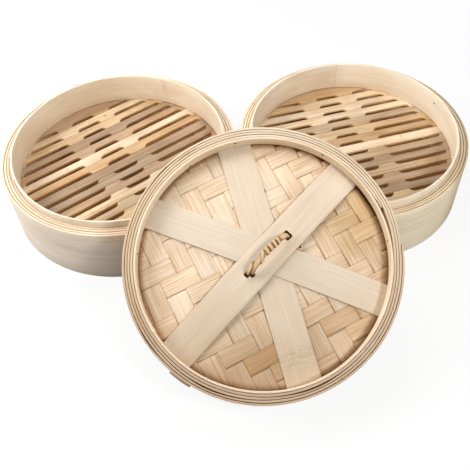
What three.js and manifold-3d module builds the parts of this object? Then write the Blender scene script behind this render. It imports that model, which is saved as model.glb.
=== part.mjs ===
// Bamboo steamer: two baskets side by side on a table, and the lid taken off and leant on both front rims.
// Millimetres, +Z up. Both baskets stand on z = 0 in a row along X, and the lid leans on them from -Y.
import * as THREE from 'three';
import { mergeVertices } from 'three/addons/utils/BufferGeometryUtils.js';
import Module from 'manifold-3d';

const wasm = await Module();
wasm.setup();

// Clearances
const seatGap = 0.3;          // between faces that rest on each other
const nestingClearance = 0.5; // between a hoop and the wound wall round it
const windingGap = 0.5;       // between one turn of a wound strip and the next
const pegClearance = 0.3;     // round a peg in its hole

// Basket wall: one long strip wound round a thin hoop
const hoopInnerRadius = 113.5;
const hoopThickness = 2.2;
const wallHeight = 69;
const wallStrip = 2.2;
const wallTurns = 3.19;
const hoopProud = 8;          // how far the hoop stands above the wall, to enter the basket on top
const stackingPlay = 1.5;     // height left over a hoop that has entered the recess above it

// Basket floor: slats on two crossbars
const floorTop = 41.4;
const slatThickness = 3;
const slatPairs = 7;          // slats to either side of the centre one
const slatJoint = 0.4;        // gap between neighbouring slats
const centreSlatWidth = 12;
const outerSlatWidth = 22.7;  // outermost slat, from its straight edge to the wall
const slatRowShift = 2;       // how far the row of slats lies off the basket's centre
const slotWidth = 4.8;
const slotRound = 3.6;
const shortSlot = 30;
const bridgeLength = 19;      // solid stretch of a slat between two slots
const slotEndMargin = 4;      // from the end of a long slot to the hoop
const crossbarWidth = 13;
const crossbarThickness = 5;

// Lid: a wound skirt as wide as the baskets, two thin rings, a woven panel with its lining, three straps
const lidHeight = 47.6;
const lidStrip = 1.9;
const lidTurns = 3.15;
const lidWindingGap = 0.45;
const lidHoopPlay = 1.5;      // between the lid's rings and the inside of a basket's hoop, seen from above
const lidRingThickness = 2.2;
const weaveEdgeDepth = 16;    // from the rim down to the edge of the woven panel
const weaveThickness = 1.6;
const weaveRise = 4.5;        // how far the panel domes up in the middle
const liningThickness = 1.2;
const strapThickness = 1.3;
const strapWidth = 32;
const middleStrapWidth = 30;
const strapLayerGap = 0.5;    // between straps where they cross

// Handle: one cane strand, up through the strap, over, down, up again and wound round itself
const caneRadius = 1.4;
const caneGap = 0.6;          // between the strand and the turns wound round it
const handleSpan = 51.4;      // between the two holes in the strap
const handleShift = 8.1;      // from the middle of the strap to the middle of the handle
const handleHeight = 14;      // from the strap's top to the strand's centreline
const handleTurns = 3.5;
const handleWoundShare = 0.8; // share of the arch that is wound
const caneStub = 3;           // end of the strand under the strap
const handleHoleWidth = 4.4;
const handleHolePlay = 0.7;   // round the cane along the strap

// Pegs through the walls, and the nail through a slat
const pegRadius = 1.4;
const pegProud = 0.3;
const nailRadius = 1.1;

// Where the pieces stand
const basketGap = 6.8;        // between the two baskets' walls
const lidStandOff = 39.3;     // from the baskets' front forward to the centre of the lid's lower edge
const lidAside = 14.5;        // from the middle of the row to that centre, towards the right basket
const leanGap = 0.35;         // between the lid's lower edge and the hoops that it leans on
const drawOutSlack = 4.5;     // degrees by which the right basket comes out flatter than the lid lies

// Facets of everything round
const sides = 48;
const facetTurn = 2 * Math.PI / sides;
const pegSides = 8;
const caneSides = 6;
const bendStep = 30;          // degrees between the points of a small bend

const radians = THREE.MathUtils.degToRad;
const hoopOuterRadius = hoopInnerRadius + hoopThickness;
const hoopTop = wallHeight + hoopProud;
const wallStart = hoopOuterRadius + nestingClearance;
const basketRadius = wallStart + wallStrip + wallTurns * (wallStrip + windingGap);
const recessDepth = hoopProud + stackingPlay;
const floorRadius = wallStart - seatGap;
const slatRow = floorRadius - slatRowShift - centreSlatWidth / 2 - outerSlatWidth;
const slatPitch = slatRow / (slatPairs - 1);
const lidRingInnerRadius = hoopInnerRadius + lidHoopPlay;

// Each basket: its slats' direction, the shift of its slots along them, the end of its wound strip, its pegs.
// A peg lies a share of the wall's height below the hoop's top or above the ring's lower edge.
// The nail goes through a slat, counted inwards from the outermost one, and a crossbar
const baskets = {
  left: {
    slatTurn: radians(33.3),
    slotShift: -1,
    stripEnd: radians(119),
    pegs: [
      { name: 'hoop_peg', at: radians(-80), through: 'hoop', share: 0.217 },
      { name: 'ring_peg_1', at: radians(-98.5), through: 'ring', share: 0.045 },
      { name: 'ring_peg_2', at: radians(-95.5), through: 'ring', share: 0.045 },
    ],
    nail: { slatsInwards: 1, crossbar: 1 },
  },
  right: {
    slatTurn: radians(11.9),
    slotShift: 4.8,
    stripEnd: radians(-105),
    pegs: [
      { name: 'hoop_peg', at: radians(23), through: 'hoop', share: 0.16 },
      { name: 'ring_peg', at: radians(-60), through: 'ring', share: 0.094 },
    ],
  },
};

// Straps from the lowest to the uppermost: direction, distance of the middle line from the centre, width
const straps = [
  { name: 'lid_strap_lower', turn: radians(-78.3), offset: 3.6, width: strapWidth },
  { name: 'lid_strap_middle', turn: radians(-25.5), offset: 4.7, width: middleStrapWidth },
  { name: 'lid_strap_upper', turn: radians(43.1), offset: 0.5, width: strapWidth },
];

// Each lid peg lies a share of the way from the rim down to the edge of the woven panel
const lidPegs = [
  { name: 'lid_peg_1', at: radians(4), share: 0.425 },
  { name: 'lid_peg_2', at: radians(56.3), share: 0.25 },
  { name: 'lid_peg_3', at: radians(99.1), share: 0.262 },
  { name: 'lid_peg_4', at: radians(122.9), share: 0.688 },
  { name: 'lid_peg_5', at: radians(173), share: 0.45 },
];
const lidStripEnd = radians(1.2);

function bamboo(colour, roughness = 0.62) {
  return new THREE.MeshStandardMaterial({ color: colour, roughness, metalness: 0 });
}
const wallBamboo = '#dccbae';
const hoopBamboo = '#e6d6b8';
const slatBamboos = ['#d8c09a', '#e9d9bb', '#d2b78c', '#e2cba5', '#c9b491'];
const weaveBamboo = '#dcc194';
const strapBamboo = '#ead8b9';
const caneBamboo = '#c79a62';
const pegBamboo = '#8a6338';

// Solids for cutting and joining
function toSolid(geometry) {
  const bare = geometry.clone();
  bare.deleteAttribute('normal');
  bare.deleteAttribute('uv');
  const merged = mergeVertices(bare, 1e-4);
  const vertProperties = Float32Array.from(merged.attributes.position.array);
  const triVerts = Uint32Array.from(merged.index.array);
  return new wasm.Manifold(new wasm.Mesh({ numProp: 3, vertProperties, triVerts }));
}

function toGeometry(solid) {
  const mesh = solid.getMesh();
  const geometry = new THREE.BufferGeometry();
  geometry.setAttribute('position', new THREE.BufferAttribute(Float32Array.from(mesh.vertProperties), 3));
  geometry.setIndex(new THREE.BufferAttribute(Uint32Array.from(mesh.triVerts), 1));
  geometry.computeVertexNormals();
  return geometry;
}

function cutAway(geometry, cutters) {
  let solid = toSolid(geometry);
  for (const cutter of cutters) {
    solid = solid.subtract(toSolid(cutter));
  }
  return toGeometry(solid);
}

function named(name, geometry, colour) {
  const mesh = new THREE.Mesh(geometry, bamboo(colour));
  mesh.name = name;
  return mesh;
}

// Revolved pieces stand on Z; a profile is walked with its material on the left
function revolved(profile) {
  const points = profile.map(([radius, height]) => new THREE.Vector2(radius, height));
  return new THREE.LatheGeometry(points, sides).rotateX(Math.PI / 2);
}

function ringPiece(inner, outer, low, high) {
  return revolved([[inner, low], [outer, low], [outer, high], [inner, high], [inner, low]]);
}

function upright(shape, low, high) {
  const geometry = new THREE.ExtrudeGeometry(shape, { depth: high - low, bevelEnabled: false });
  return geometry.translate(0, 0, low);
}

// The angles of a small bend, from 0 up to its last one
function bendTurns(last) {
  const turns = [];
  for (let turn = 0; turn <= last; turn += bendStep) {
    turns.push(radians(turn));
  }
  return turns;
}

// A wound strip seen from above, from its outer end inwards in whole facets
function woundStrip(innerRadius, turns, strip, gap, endTurn) {
  const pitch = strip + gap;
  const steps = Math.round(turns * sides);
  const outerRadius = innerRadius + strip + pitch * steps / sides;
  const firstFacet = Math.round(endTurn / facetTurn);
  const outerAt = (step) => outerRadius - pitch * step / sides;
  const pointAt = (step, radius) => {
    const angle = (firstFacet - step) * facetTurn;
    return new THREE.Vector2(radius * Math.cos(angle), radius * Math.sin(angle));
  };
  const outerWall = [];
  const innerWall = [];
  for (let step = 0; step <= steps; step += 1) {
    outerWall.push(pointAt(step, outerAt(step)));
    innerWall.push(pointAt(step, outerAt(step) - strip));
  }
  const shape = new THREE.Shape([...outerWall.slice().reverse(), ...innerWall]);
  // Outermost radius at an angle, for what meets the wall from outside
  const radiusAt = (angle) => {
    const back = THREE.MathUtils.euclideanModulo(firstFacet - angle / facetTurn, sides);
    return outerAt(back);
  };
  return { shape, radiusAt, innerWall, outerWall };
}

function leastWindingGap(wound) {
  let least = Infinity;
  for (let step = sides; step < wound.outerWall.length; step += 1) {
    least = Math.min(least, wound.outerWall[step].distanceTo(wound.innerWall[step - sides]));
  }
  return least;
}

// A round rod along a radius of the basket or lid
function radialRod(radius, at, height, from, to) {
  const rod = new THREE.CylinderGeometry(radius, radius, to - from, pegSides);
  rod.rotateZ(-Math.PI / 2).translate((from + to) / 2, 0, height);
  return rod.rotateZ(at);
}

// Floor slats. Outlines lie in a frame whose X runs along the slats
function halfChord(radius, offset) {
  return Math.sqrt(radius ** 2 - offset ** 2);
}

function arcPoints(radius, from, to) {
  const count = Math.max(1, Math.ceil(Math.abs(to - from) / facetTurn));
  const points = [];
  for (let step = 0; step <= count; step += 1) {
    const angle = from + (to - from) * step / count;
    points.push([radius * Math.cos(angle), radius * Math.sin(angle)]);
  }
  return points;
}

function slotRuns(edge, shift) {
  const reach = halfChord(hoopInnerRadius, edge) - slotEndMargin;
  const shortEnd = shortSlot / 2;
  const longStart = shortEnd + bridgeLength;
  const leftLong = [-reach, shift - longStart];
  const short = [shift - shortEnd, shift + shortEnd];
  const rightLong = [shift + longStart, reach];
  const runs = [leftLong, short, rightLong];
  return runs.filter(([from, to]) => to - from > 2.5 * slotRound);
}

// One straight edge from left to right, with slots that reach into the slat and have rounded ends
function edgePoints(edge, end, runs, into) {
  const points = [[-end, edge]];
  const corner = bendTurns(90);
  for (const [from, to] of runs) {
    for (const turn of corner) {
      points.push([from + slotRound * (1 - Math.cos(turn)), edge + into * slotWidth * Math.sin(turn)]);
    }
    for (const turn of corner.slice().reverse()) {
      points.push([to - slotRound * (1 - Math.cos(turn)), edge + into * slotWidth * Math.sin(turn)]);
    }
  }
  points.push([end, edge]);
  return points;
}

function shapeOf(points) {
  return new THREE.Shape(points.map(([x, y]) => new THREE.Vector2(x, y)));
}

// The part of a disc between two lines across it; either line may lie beyond the disc
function bandOfDisc(radius, low, high, lowRuns = [], highRuns = []) {
  const lowAngle = low > -radius ? Math.asin(low / radius) : -Math.PI / 2;
  const highAngle = high < radius ? Math.asin(high / radius) : Math.PI / 2;
  const points = [];
  if (low > -radius) {
    points.push(...edgePoints(low, halfChord(radius, low), lowRuns, 1));
  }
  points.push(...arcPoints(radius, lowAngle, highAngle).slice(1));
  if (high < radius) {
    points.push(...edgePoints(high, halfChord(radius, high), highRuns, -1).reverse().slice(1));
  }
  const leftArc = arcPoints(radius, Math.PI - highAngle, Math.PI - lowAngle);
  points.push(...leftArc.slice(1, -1));
  return shapeOf(points);
}

// Lower and upper line of slat number place, counted from the centre slat
function slatLines(place) {
  if (place === 0) {
    return [slatRowShift - centreSlatWidth / 2, slatRowShift + centreSlatWidth / 2];
  }
  const near = slatRowShift + Math.sign(place) * (centreSlatWidth / 2 + (Math.abs(place) - 1) * slatPitch);
  const beyond = 2 * basketRadius;
  const far = Math.abs(place) === slatPairs ? Math.sign(place) * beyond : near + Math.sign(place) * slatPitch;
  return place > 0 ? [near, far] : [far, near];
}

function slatShape(place, shift) {
  const [low, high] = slatLines(place);
  const trim = slatJoint / 2;
  const lowRuns = place > 0 ? slotRuns(low + trim, shift) : [];
  const highRuns = place < 0 ? slotRuns(high - trim, shift) : [];
  return bandOfDisc(floorRadius, low + trim, high - trim, lowRuns, highRuns);
}

function crossbarPlaces(shift) {
  const reach = (shortSlot + bridgeLength) / 2;
  return [shift - reach, shift + reach];
}

function makeBasket(side, plan) {
  const basket = new THREE.Group();
  const slatBottom = floorTop - slatThickness;
  const ringTop = slatBottom - seatGap;
  const hoopLow = floorTop + seatGap;
  const crossbarBottom = ringTop - crossbarThickness;

  const wound = woundStrip(wallStart, wallTurns, wallStrip, windingGap, plan.stripEnd);
  console.log(`${side} wall: least gap between turns ${leastWindingGap(wound).toFixed(3)} mm`);

  const holes = { hoop: [], ring: [], wall: [] };
  for (const peg of plan.pegs) {
    const distance = peg.share * wallHeight;
    const height = peg.through === 'hoop' ? hoopTop - distance : recessDepth + distance;
    const hole = radialRod(pegRadius + pegClearance, peg.at, height, hoopInnerRadius / 2, 2 * basketRadius);
    holes[peg.through].push(hole);
    holes.wall.push(hole);
    const outerEnd = wound.radiusAt(peg.at) + pegProud;
    const rod = radialRod(pegRadius, peg.at, height, hoopInnerRadius - pegProud, outerEnd);
    basket.add(named(`${side}_${peg.name}`, rod, pegBamboo));
  }

  const wall = cutAway(upright(wound.shape, 0, wallHeight), holes.wall);
  basket.add(named(`${side}_wound_wall`, wall, wallBamboo));

  const hoop = cutAway(ringPiece(hoopInnerRadius, hoopOuterRadius, hoopLow, hoopTop), holes.hoop);
  basket.add(named(`${side}_upper_hoop`, hoop, hoopBamboo));

  const crossbars = crossbarPlaces(plan.slotShift);
  const barSlots = crossbars.map((place) => {
    const height = crossbarThickness + 2 * seatGap;
    const slot = new THREE.BoxGeometry(crossbarWidth + 2 * seatGap, 3 * basketRadius, height);
    return slot.translate(place, 0, crossbarBottom - seatGap + height / 2).rotateZ(plan.slatTurn);
  });
  const ring = ringPiece(hoopInnerRadius, hoopOuterRadius, recessDepth, ringTop);
  basket.add(named(`${side}_lower_ring`, cutAway(ring, [...holes.ring, ...barSlots]), hoopBamboo));

  const floor = new THREE.Group();
  floor.rotation.z = plan.slatTurn;
  basket.add(floor);
  const nailedSlat = plan.nail ? slatPairs - plan.nail.slatsInwards : null;
  const nailRod = (radius, low, high) => {
    const [near, far] = slatLines(nailedSlat);
    const rod = new THREE.CylinderGeometry(radius, radius, high - low, pegSides).rotateX(Math.PI / 2);
    return rod.translate(crossbars[plan.nail.crossbar], (near + far) / 2, (low + high) / 2);
  };
  const nailHole = () => nailRod(nailRadius + pegClearance, 0, hoopTop);
  for (let place = slatPairs; place >= -slatPairs; place -= 1) {
    const number = slatPairs - place + 1;
    let slat = upright(slatShape(place, plan.slotShift), slatBottom, floorTop);
    if (nailedSlat === place) {
      slat = cutAway(slat, [nailHole()]);
    }
    const colour = slatBamboos[(number * 3) % slatBamboos.length];
    floor.add(named(`${side}_slat_${String(number).padStart(2, '0')}`, slat, colour));
  }

  crossbars.forEach((place, index) => {
    const outline = bandOfDisc(floorRadius, place - crossbarWidth / 2, place + crossbarWidth / 2);
    let bar = upright(outline, crossbarBottom, ringTop).rotateZ(-Math.PI / 2);
    if (plan.nail && plan.nail.crossbar === index) {
      bar = cutAway(bar, [nailHole()]);
    }
    floor.add(named(`${side}_crossbar_${index + 1}`, bar, slatBamboos[index]));
  });
  if (plan.nail) {
    const nail = nailRod(nailRadius, crossbarBottom, floorTop + pegProud);
    floor.add(named(`${side}_slat_nail`, nail, pegBamboo));
  }
  return basket;
}

// Lid, built upright with its lower edge on z = 0
const lidWallStart = lidRingInnerRadius + lidRingThickness + nestingClearance;
const panelRadius = lidWallStart - seatGap;
const panelEdgeTop = lidHeight - weaveEdgeDepth;
const lidWound = woundStrip(lidWallStart, lidTurns, lidStrip, lidWindingGap, lidStripEnd);

// Height that a dome gains over its edge, at a distance from the middle
function domeHeight(rise, reach, distance) {
  return rise * (1 - Math.min(1, distance / reach) ** 2);
}

function domedPanel(top, thickness) {
  const rings = 6;
  const upper = [];
  const lower = [];
  for (let step = 0; step <= rings; step += 1) {
    const radius = lidRingInnerRadius * step / rings;
    const height = top + domeHeight(weaveRise, lidRingInnerRadius, radius);
    upper.push([radius, height]);
    lower.push([radius, height - thickness]);
  }
  const edge = [[panelRadius, top - thickness], [panelRadius, top]];
  return revolved([...lower, ...edge, ...upper.reverse()]);
}

// Half the length of a strap between the places where it passes under the ring
function strapReach(strap) {
  return halfChord(lidRingInnerRadius, Math.abs(strap.offset) + strap.width / 2);
}

// Height of a strap's top at a distance along it. Each strap passes over those before it in the list
function strapTop(layer, along) {
  const rise = weaveRise + layer * (strapThickness + strapLayerGap);
  const gained = domeHeight(rise, strapReach(straps[layer]), Math.abs(along));
  return panelEdgeTop + seatGap + strapThickness + gained;
}

// Moves a piece made along X, with its middle line on Y = 0, to a strap's place
function ontoStrap(geometry, strap) {
  return geometry.translate(0, strap.offset, 0).rotateZ(strap.turn);
}

function strapPiece(layer, holes) {
  const strap = straps[layer];
  const steps = 24;
  const places = [-panelRadius];
  for (let step = 0; step <= steps; step += 1) {
    places.push(strapReach(strap) * (2 * step / steps - 1));
  }
  places.push(panelRadius);
  const upper = places.map((along) => [along, strapTop(layer, along)]);
  const lower = upper.map(([along, top]) => [along, top - strapThickness]);
  const profile = shapeOf([...lower, ...upper.reverse()]);
  const ribbon = new THREE.ExtrudeGeometry(profile, { depth: strap.width, bevelEnabled: false });
  ribbon.rotateX(Math.PI / 2).translate(0, strap.width / 2, 0);
  const insideWall = revolved([[0, 0], [panelRadius, 0], [panelRadius, 2 * lidHeight], [0, 2 * lidHeight]]);
  const trimmed = toSolid(ontoStrap(ribbon, strap)).intersect(toSolid(insideWall));
  return cutAway(toGeometry(trimmed), holes.map((hole) => ontoStrap(hole, strap)));
}

// Handle, laid out along the uppermost strap: X along it, Z up from the lid's lower edge
const handleLayer = straps.length - 1;
const doubleHole = handleShift - handleSpan / 2;   // two strands pass here
const singleHole = handleShift + handleSpan / 2;
const wrapRadius = 2 * caneRadius + caneGap;
const strapMiddle = (along) => strapTop(handleLayer, along) - strapThickness / 2;

function handleHole(along, strands) {
  const length = (strands - 1) * wrapRadius + 2 * (caneRadius + handleHolePlay);
  const hole = new THREE.BoxGeometry(length, handleHoleWidth, 10 * strapThickness);
  return hole.translate(along, 0, strapMiddle(along));
}

function canePath() {
  const legRise = 2;
  const caneBend = 1.25 * caneRadius;
  const underStrap = strapThickness / 2 + 0.1;
  const firstStrand = doubleHole + wrapRadius / 2;
  const lastStrand = doubleHole - wrapRadius / 2;
  const archBase = strapTop(handleLayer, handleShift) + legRise;
  const archRise = handleHeight - legRise;
  const archMiddle = (singleHole + firstStrand) / 2;
  const archHalf = (singleHole - firstStrand) / 2;
  const onArch = (turn) => new THREE.Vector3(
    archMiddle + archHalf * Math.cos(turn), 0, archBase + archRise * Math.sin(turn));
  const points = [];

  // The end under the strap, bent up into its hole
  const bendTop = strapMiddle(singleHole) - underStrap;
  points.push(new THREE.Vector3(singleHole + caneBend + caneStub, 0, bendTop - caneBend));
  for (const turn of bendTurns(90)) {
    const x = singleHole + caneBend * (1 - Math.sin(turn));
    points.push(new THREE.Vector3(x, 0, bendTop - caneBend * Math.cos(turn)));
  }

  // Over in an arch, and back up after a turn below the strap
  const archSteps = 24;
  for (let step = 0; step <= archSteps; step += 1) {
    points.push(onArch(Math.PI * step / archSteps));
  }
  const turnTop = strapMiddle(doubleHole) - underStrap;
  for (const turn of bendTurns(180)) {
    const x = doubleHole + wrapRadius / 2 * Math.cos(turn);
    points.push(new THREE.Vector3(x, 0, turnTop - wrapRadius / 2 * Math.sin(turn)));
  }
  points.push(new THREE.Vector3(lastStrand, 0, archBase - legRise / 2));

  // Wound round the arch
  const stepsPerTurn = 14;
  const woundSteps = Math.round(handleTurns * stepsPerTurn);
  for (let step = 0; step <= woundSteps; step += 1) {
    const share = step / woundSteps;
    const turn = Math.PI * (1 - handleWoundShare * share);
    const along = new THREE.Vector3(archHalf * Math.sin(turn), 0, -archRise * Math.cos(turn)).normalize();
    const away = new THREE.Vector3(-along.z, 0, along.x);
    const wind = 2 * Math.PI * handleTurns * share;
    const point = onArch(turn).addScaledVector(away, wrapRadius * Math.cos(wind));
    point.y += wrapRadius * Math.sin(wind);
    points.push(point);
  }
  return new THREE.CatmullRomCurve3(points, false, 'centripetal');
}

function leastCaneGap(path) {
  const samples = 600;
  const apart = path.getLength() / samples;
  const points = path.getSpacedPoints(samples);
  const skipped = Math.ceil(2.3 * wrapRadius / apart);
  let least = Infinity;
  for (let first = 0; first < points.length; first += 1) {
    for (let second = first + skipped; second < points.length; second += 1) {
      least = Math.min(least, points[first].distanceTo(points[second]));
    }
  }
  return least - 2 * caneRadius;
}

function caneTube() {
  const path = canePath();
  console.log(`handle: least gap between strands ${leastCaneGap(path).toFixed(3)} mm`);
  const section = new THREE.Shape();
  for (let corner = 0; corner < caneSides; corner += 1) {
    const turn = 2 * Math.PI * corner / caneSides;
    const place = [caneRadius * Math.cos(turn), caneRadius * Math.sin(turn)];
    section[corner === 0 ? 'moveTo' : 'lineTo'](...place);
  }
  section.closePath();
  const steps = Math.round(path.getLength() / (1.4 * caneRadius));
  return new THREE.ExtrudeGeometry(section, { steps, extrudePath: path, bevelEnabled: false });
}

function makeLid() {
  const lid = new THREE.Group();
  const ringOuter = lidRingInnerRadius + lidRingThickness;
  const upperRingLow = panelEdgeTop + 2 * seatGap + strapThickness;
  const liningTop = panelEdgeTop - weaveThickness - seatGap;
  const lowerRingTop = liningTop - liningThickness - seatGap;
  console.log(`lid skirt: least gap between turns ${leastWindingGap(lidWound).toFixed(3)} mm`);

  const holes = [];
  for (const peg of lidPegs) {
    const height = lidHeight - peg.share * weaveEdgeDepth;
    holes.push(radialRod(pegRadius + pegClearance, peg.at, height, lidRingInnerRadius / 2, 2 * basketRadius));
    const outerEnd = lidWound.radiusAt(peg.at) + pegProud;
    const rod = radialRod(pegRadius, peg.at, height, lidRingInnerRadius - pegProud, outerEnd);
    lid.add(named(peg.name, rod, pegBamboo));
  }
  lid.add(named('lid_wound_skirt', cutAway(upright(lidWound.shape, 0, lidHeight), holes), wallBamboo));
  const upperRing = ringPiece(lidRingInnerRadius, ringOuter, upperRingLow, lidHeight);
  lid.add(named('lid_upper_ring', cutAway(upperRing, holes), hoopBamboo));
  const lowerRing = ringPiece(lidRingInnerRadius, ringOuter, recessDepth, lowerRingTop);
  lid.add(named('lid_lower_ring', lowerRing, hoopBamboo));
  lid.add(named('lid_woven_panel', domedPanel(panelEdgeTop, weaveThickness), weaveBamboo));
  lid.add(named('lid_lining', domedPanel(liningTop, liningThickness), slatBamboos[0]));

  straps.forEach((strap, layer) => {
    const handleHoles = layer === handleLayer ? [handleHole(doubleHole, 2), handleHole(singleHole, 1)] : [];
    lid.add(named(strap.name, strapPiece(layer, handleHoles), strapBamboo));
  });
  lid.add(named('lid_handle', ontoStrap(caneTube(), straps[handleLayer]), caneBamboo));
  return lid;
}

// How the lid lies: its lowest edge point on the table, and its lower edge just over both front rims.
// tilt is its slope, and swing turns its downhill side from -Y towards +X
const basketPlace = basketRadius + basketGap / 2;

function lidAxes(tilt, swing) {
  const up = new THREE.Vector3(
    Math.sin(swing) * Math.sin(tilt), -Math.cos(swing) * Math.sin(tilt), Math.cos(tilt));
  const side = new THREE.Vector3(0, 1, 0).cross(up).normalize();
  const back = new THREE.Vector3().crossVectors(up, side);
  let lowest = Infinity;
  for (let facet = 0; facet < sides; facet += 1) {
    const turn = facet * facetTurn;
    const slope = side.z * Math.cos(turn) + back.z * Math.sin(turn);
    lowest = Math.min(lowest, lidWound.radiusAt(turn) * slope);
  }
  const centre = new THREE.Vector3(lidAside, -(basketRadius + lidStandOff), -lowest);
  return { up, side, back, centre };
}

// Least height of the lid's lower edge over one basket's hoop
function heightOverHoop(axes, basketX) {
  const samples = 1800;
  let least = Infinity;
  for (const radius of [hoopInnerRadius, hoopOuterRadius]) {
    for (let sample = 0; sample < samples; sample += 1) {
      const turn = 2 * Math.PI * sample / samples;
      const away = new THREE.Vector3(basketX + radius * Math.cos(turn), radius * Math.sin(turn), 0);
      away.sub(axes.centre).setZ(0);
      away.z = -(away.x * axes.up.x + away.y * axes.up.y) / axes.up.z;
      const around = Math.atan2(away.dot(axes.back), away.dot(axes.side));
      const outward = away.length();
      if (outward >= lidWallStart && outward <= lidWound.radiusAt(around)) {
        least = Math.min(least, axes.centre.z + away.z - hoopTop);
      }
    }
  }
  return least;
}

// The value between low and high where a rising measure passes zero
function whereZero(measure, low, high) {
  let [below, above] = [low, high];
  for (let round = 0; round < 20; round += 1) {
    const middle = (below + above) / 2;
    if (measure(middle) < 0) {
      below = middle;
    } else {
      above = middle;
    }
  }
  return (below + above) / 2;
}

function leaningLid() {
  const steepest = radians(60);
  const tiltFor = (swing) => whereZero((tilt) => {
    const axes = lidAxes(tilt, swing);
    const heights = [-basketPlace, basketPlace].map((place) => heightOverHoop(axes, place));
    return Math.min(...heights) - leanGap;
  }, radians(2), steepest);
  const swing = whereZero((turn) => {
    const axes = lidAxes(tiltFor(turn), turn);
    return heightOverHoop(axes, -basketPlace) - heightOverHoop(axes, basketPlace);
  }, -radians(15), radians(15));
  const tilt = tiltFor(swing);
  return { tilt, swing, axes: lidAxes(tilt, swing) };
}

const steamer = new THREE.Group();
const leftBasket = makeBasket('left', baskets.left);
leftBasket.position.x = -basketPlace;
const rightBasket = makeBasket('right', baskets.right);
rightBasket.position.x = basketPlace;
const lean = leaningLid();
const lid = makeLid();
lid.matrixAutoUpdate = false;
lid.matrix.makeBasis(lean.axes.side, lean.axes.back, lean.axes.up).setPosition(lean.axes.centre);
steamer.add(leftBasket, rightBasket, lid);

// The origin is under the middle of the whole object, on the table
steamer.updateMatrixWorld(true);
const box = new THREE.Box3().setFromObject(steamer, true);
const middle = box.getCenter(new THREE.Vector3());
steamer.position.set(-middle.x, -middle.y, -box.min.z);
steamer.updateMatrixWorld(true);

// Where the joints and the faces to rest on lie, in the row's frame
const onLid = (point) => point.applyMatrix4(lid.matrixWorld);
const handleEnd = (along) => onLid(new THREE.Vector3(along, straps[handleLayer].offset, strapMiddle(along))
  .applyAxisAngle(new THREE.Vector3(0, 0, 1), straps[handleLayer].turn));
const placeOf = (group) => group.getWorldPosition(new THREE.Vector3()).toArray();
const drawOutSlope = lean.tilt - radians(drawOutSlack);
const [lidTilt, lidSwing] = [lean.tilt, lean.swing].map(THREE.MathUtils.radToDeg);
steamer.userData = {
  handleHinge: [handleEnd(doubleHole), handleEnd(singleHole)].map((point) => point.toArray()),
  drawOutAxis: [0, Math.cos(drawOutSlope), Math.sin(drawOutSlope)],
  basketCentres: [leftBasket, rightBasket].map(placeOf),
  lidMatrix: lid.matrixWorld.toArray(),
};
console.log(`lid: tilt ${lidTilt.toFixed(2)} degrees, swing ${lidSwing.toFixed(2)} degrees`);

export default steamer;
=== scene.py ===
"""Looks of a bamboo steamer: two slatted baskets in a row, and the woven lid that leans on them.

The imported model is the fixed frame. Shapes are worked out in millimetres, in a basket's or the lid's own
frame with Z up from its lower edge, and are then set in the row's frame in metres.
"""

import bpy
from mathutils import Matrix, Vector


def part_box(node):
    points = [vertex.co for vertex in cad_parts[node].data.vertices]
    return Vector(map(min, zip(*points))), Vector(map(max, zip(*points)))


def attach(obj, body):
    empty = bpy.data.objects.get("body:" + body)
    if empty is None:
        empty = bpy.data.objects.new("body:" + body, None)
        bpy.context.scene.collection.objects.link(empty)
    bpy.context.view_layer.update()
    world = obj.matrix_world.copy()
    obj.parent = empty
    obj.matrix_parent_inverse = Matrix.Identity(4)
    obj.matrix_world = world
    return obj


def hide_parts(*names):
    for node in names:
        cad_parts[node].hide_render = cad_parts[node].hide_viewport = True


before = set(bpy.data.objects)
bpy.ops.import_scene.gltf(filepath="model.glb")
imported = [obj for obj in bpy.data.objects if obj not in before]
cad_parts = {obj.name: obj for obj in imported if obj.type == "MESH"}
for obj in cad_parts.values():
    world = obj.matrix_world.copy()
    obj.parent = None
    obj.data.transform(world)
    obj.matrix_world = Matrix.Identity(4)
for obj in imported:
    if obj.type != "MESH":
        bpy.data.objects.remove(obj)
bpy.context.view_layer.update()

import math
import random
from collections import namedtuple
from types import SimpleNamespace

import bmesh
import bpy
import numpy as np
from bpy.props import FloatProperty, FloatVectorProperty, PointerProperty
from mathutils import Matrix, Vector

bl_info = {
    "name": "Bamboo Steamer",
    "version": (1, 0, 0),
    "blender": (4, 5, 0),
    "location": "3D View > Sidebar > Steamer",
    "description": "Makes the strips, slats, splints and cane of a bamboo steamer round its frame",
    "category": "Add Mesh",
}

MM = 0.001
TAU = 2 * math.pi
STEPS_PER_TURN = 120
CLIMB = 0.07        # share of a turn in which a wound strip climbs onto its own start
LID_RECESS = 9.5    # height of the lid's lower ring above the lower edge of the skirt


# ---------------------------------------------------------------- the frame's own measures

def corners(node):
    """The different corner points of a CAD node, in millimetres"""
    points = np.array([corner.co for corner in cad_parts[node].data.vertices], float) / MM
    return np.unique(points.round(4), axis=0)


def basket_middle(side):
    low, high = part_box(f"{side}_upper_hoop")
    return np.array([(low.x + high.x) / 2, (low.y + high.y) / 2, 0.0]) / MM


def basket_place(side):
    place = np.eye(4)
    place[:3, 3] = basket_middle(side)
    return place


def lid_place():
    """The lid's axes and the middle of its lower edge, in the row's frame"""
    ring = corners("lid_lower_ring")
    middle = ring.mean(0)
    up = np.linalg.svd(ring - middle)[2][2]
    up = up * np.sign(up[2])
    side = np.cross([0.0, 1.0, 0.0], up)
    side /= np.linalg.norm(side)
    heights = (ring - middle) @ up
    middle = middle + up * (heights.min() + heights.max()) / 2
    height_of_middle = LID_RECESS + (heights.max() - heights.min()) / 2
    place = np.eye(4)
    place[:3] = np.column_stack([side, np.cross(up, side), up, middle - up * height_of_middle])
    return place


PLACES = {"left_basket": basket_place("left"), "right_basket": basket_place("right"),
          "lid": lid_place(), "handle": lid_place()}


def top_of(node):
    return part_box(node)[1].z


def bottom_of(node):
    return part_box(node)[0].z


def reach_of(node):
    low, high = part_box(node)
    return (high.x - low.x) / 2


# ---------------------------------------------------------------- how the steamer was made

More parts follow.
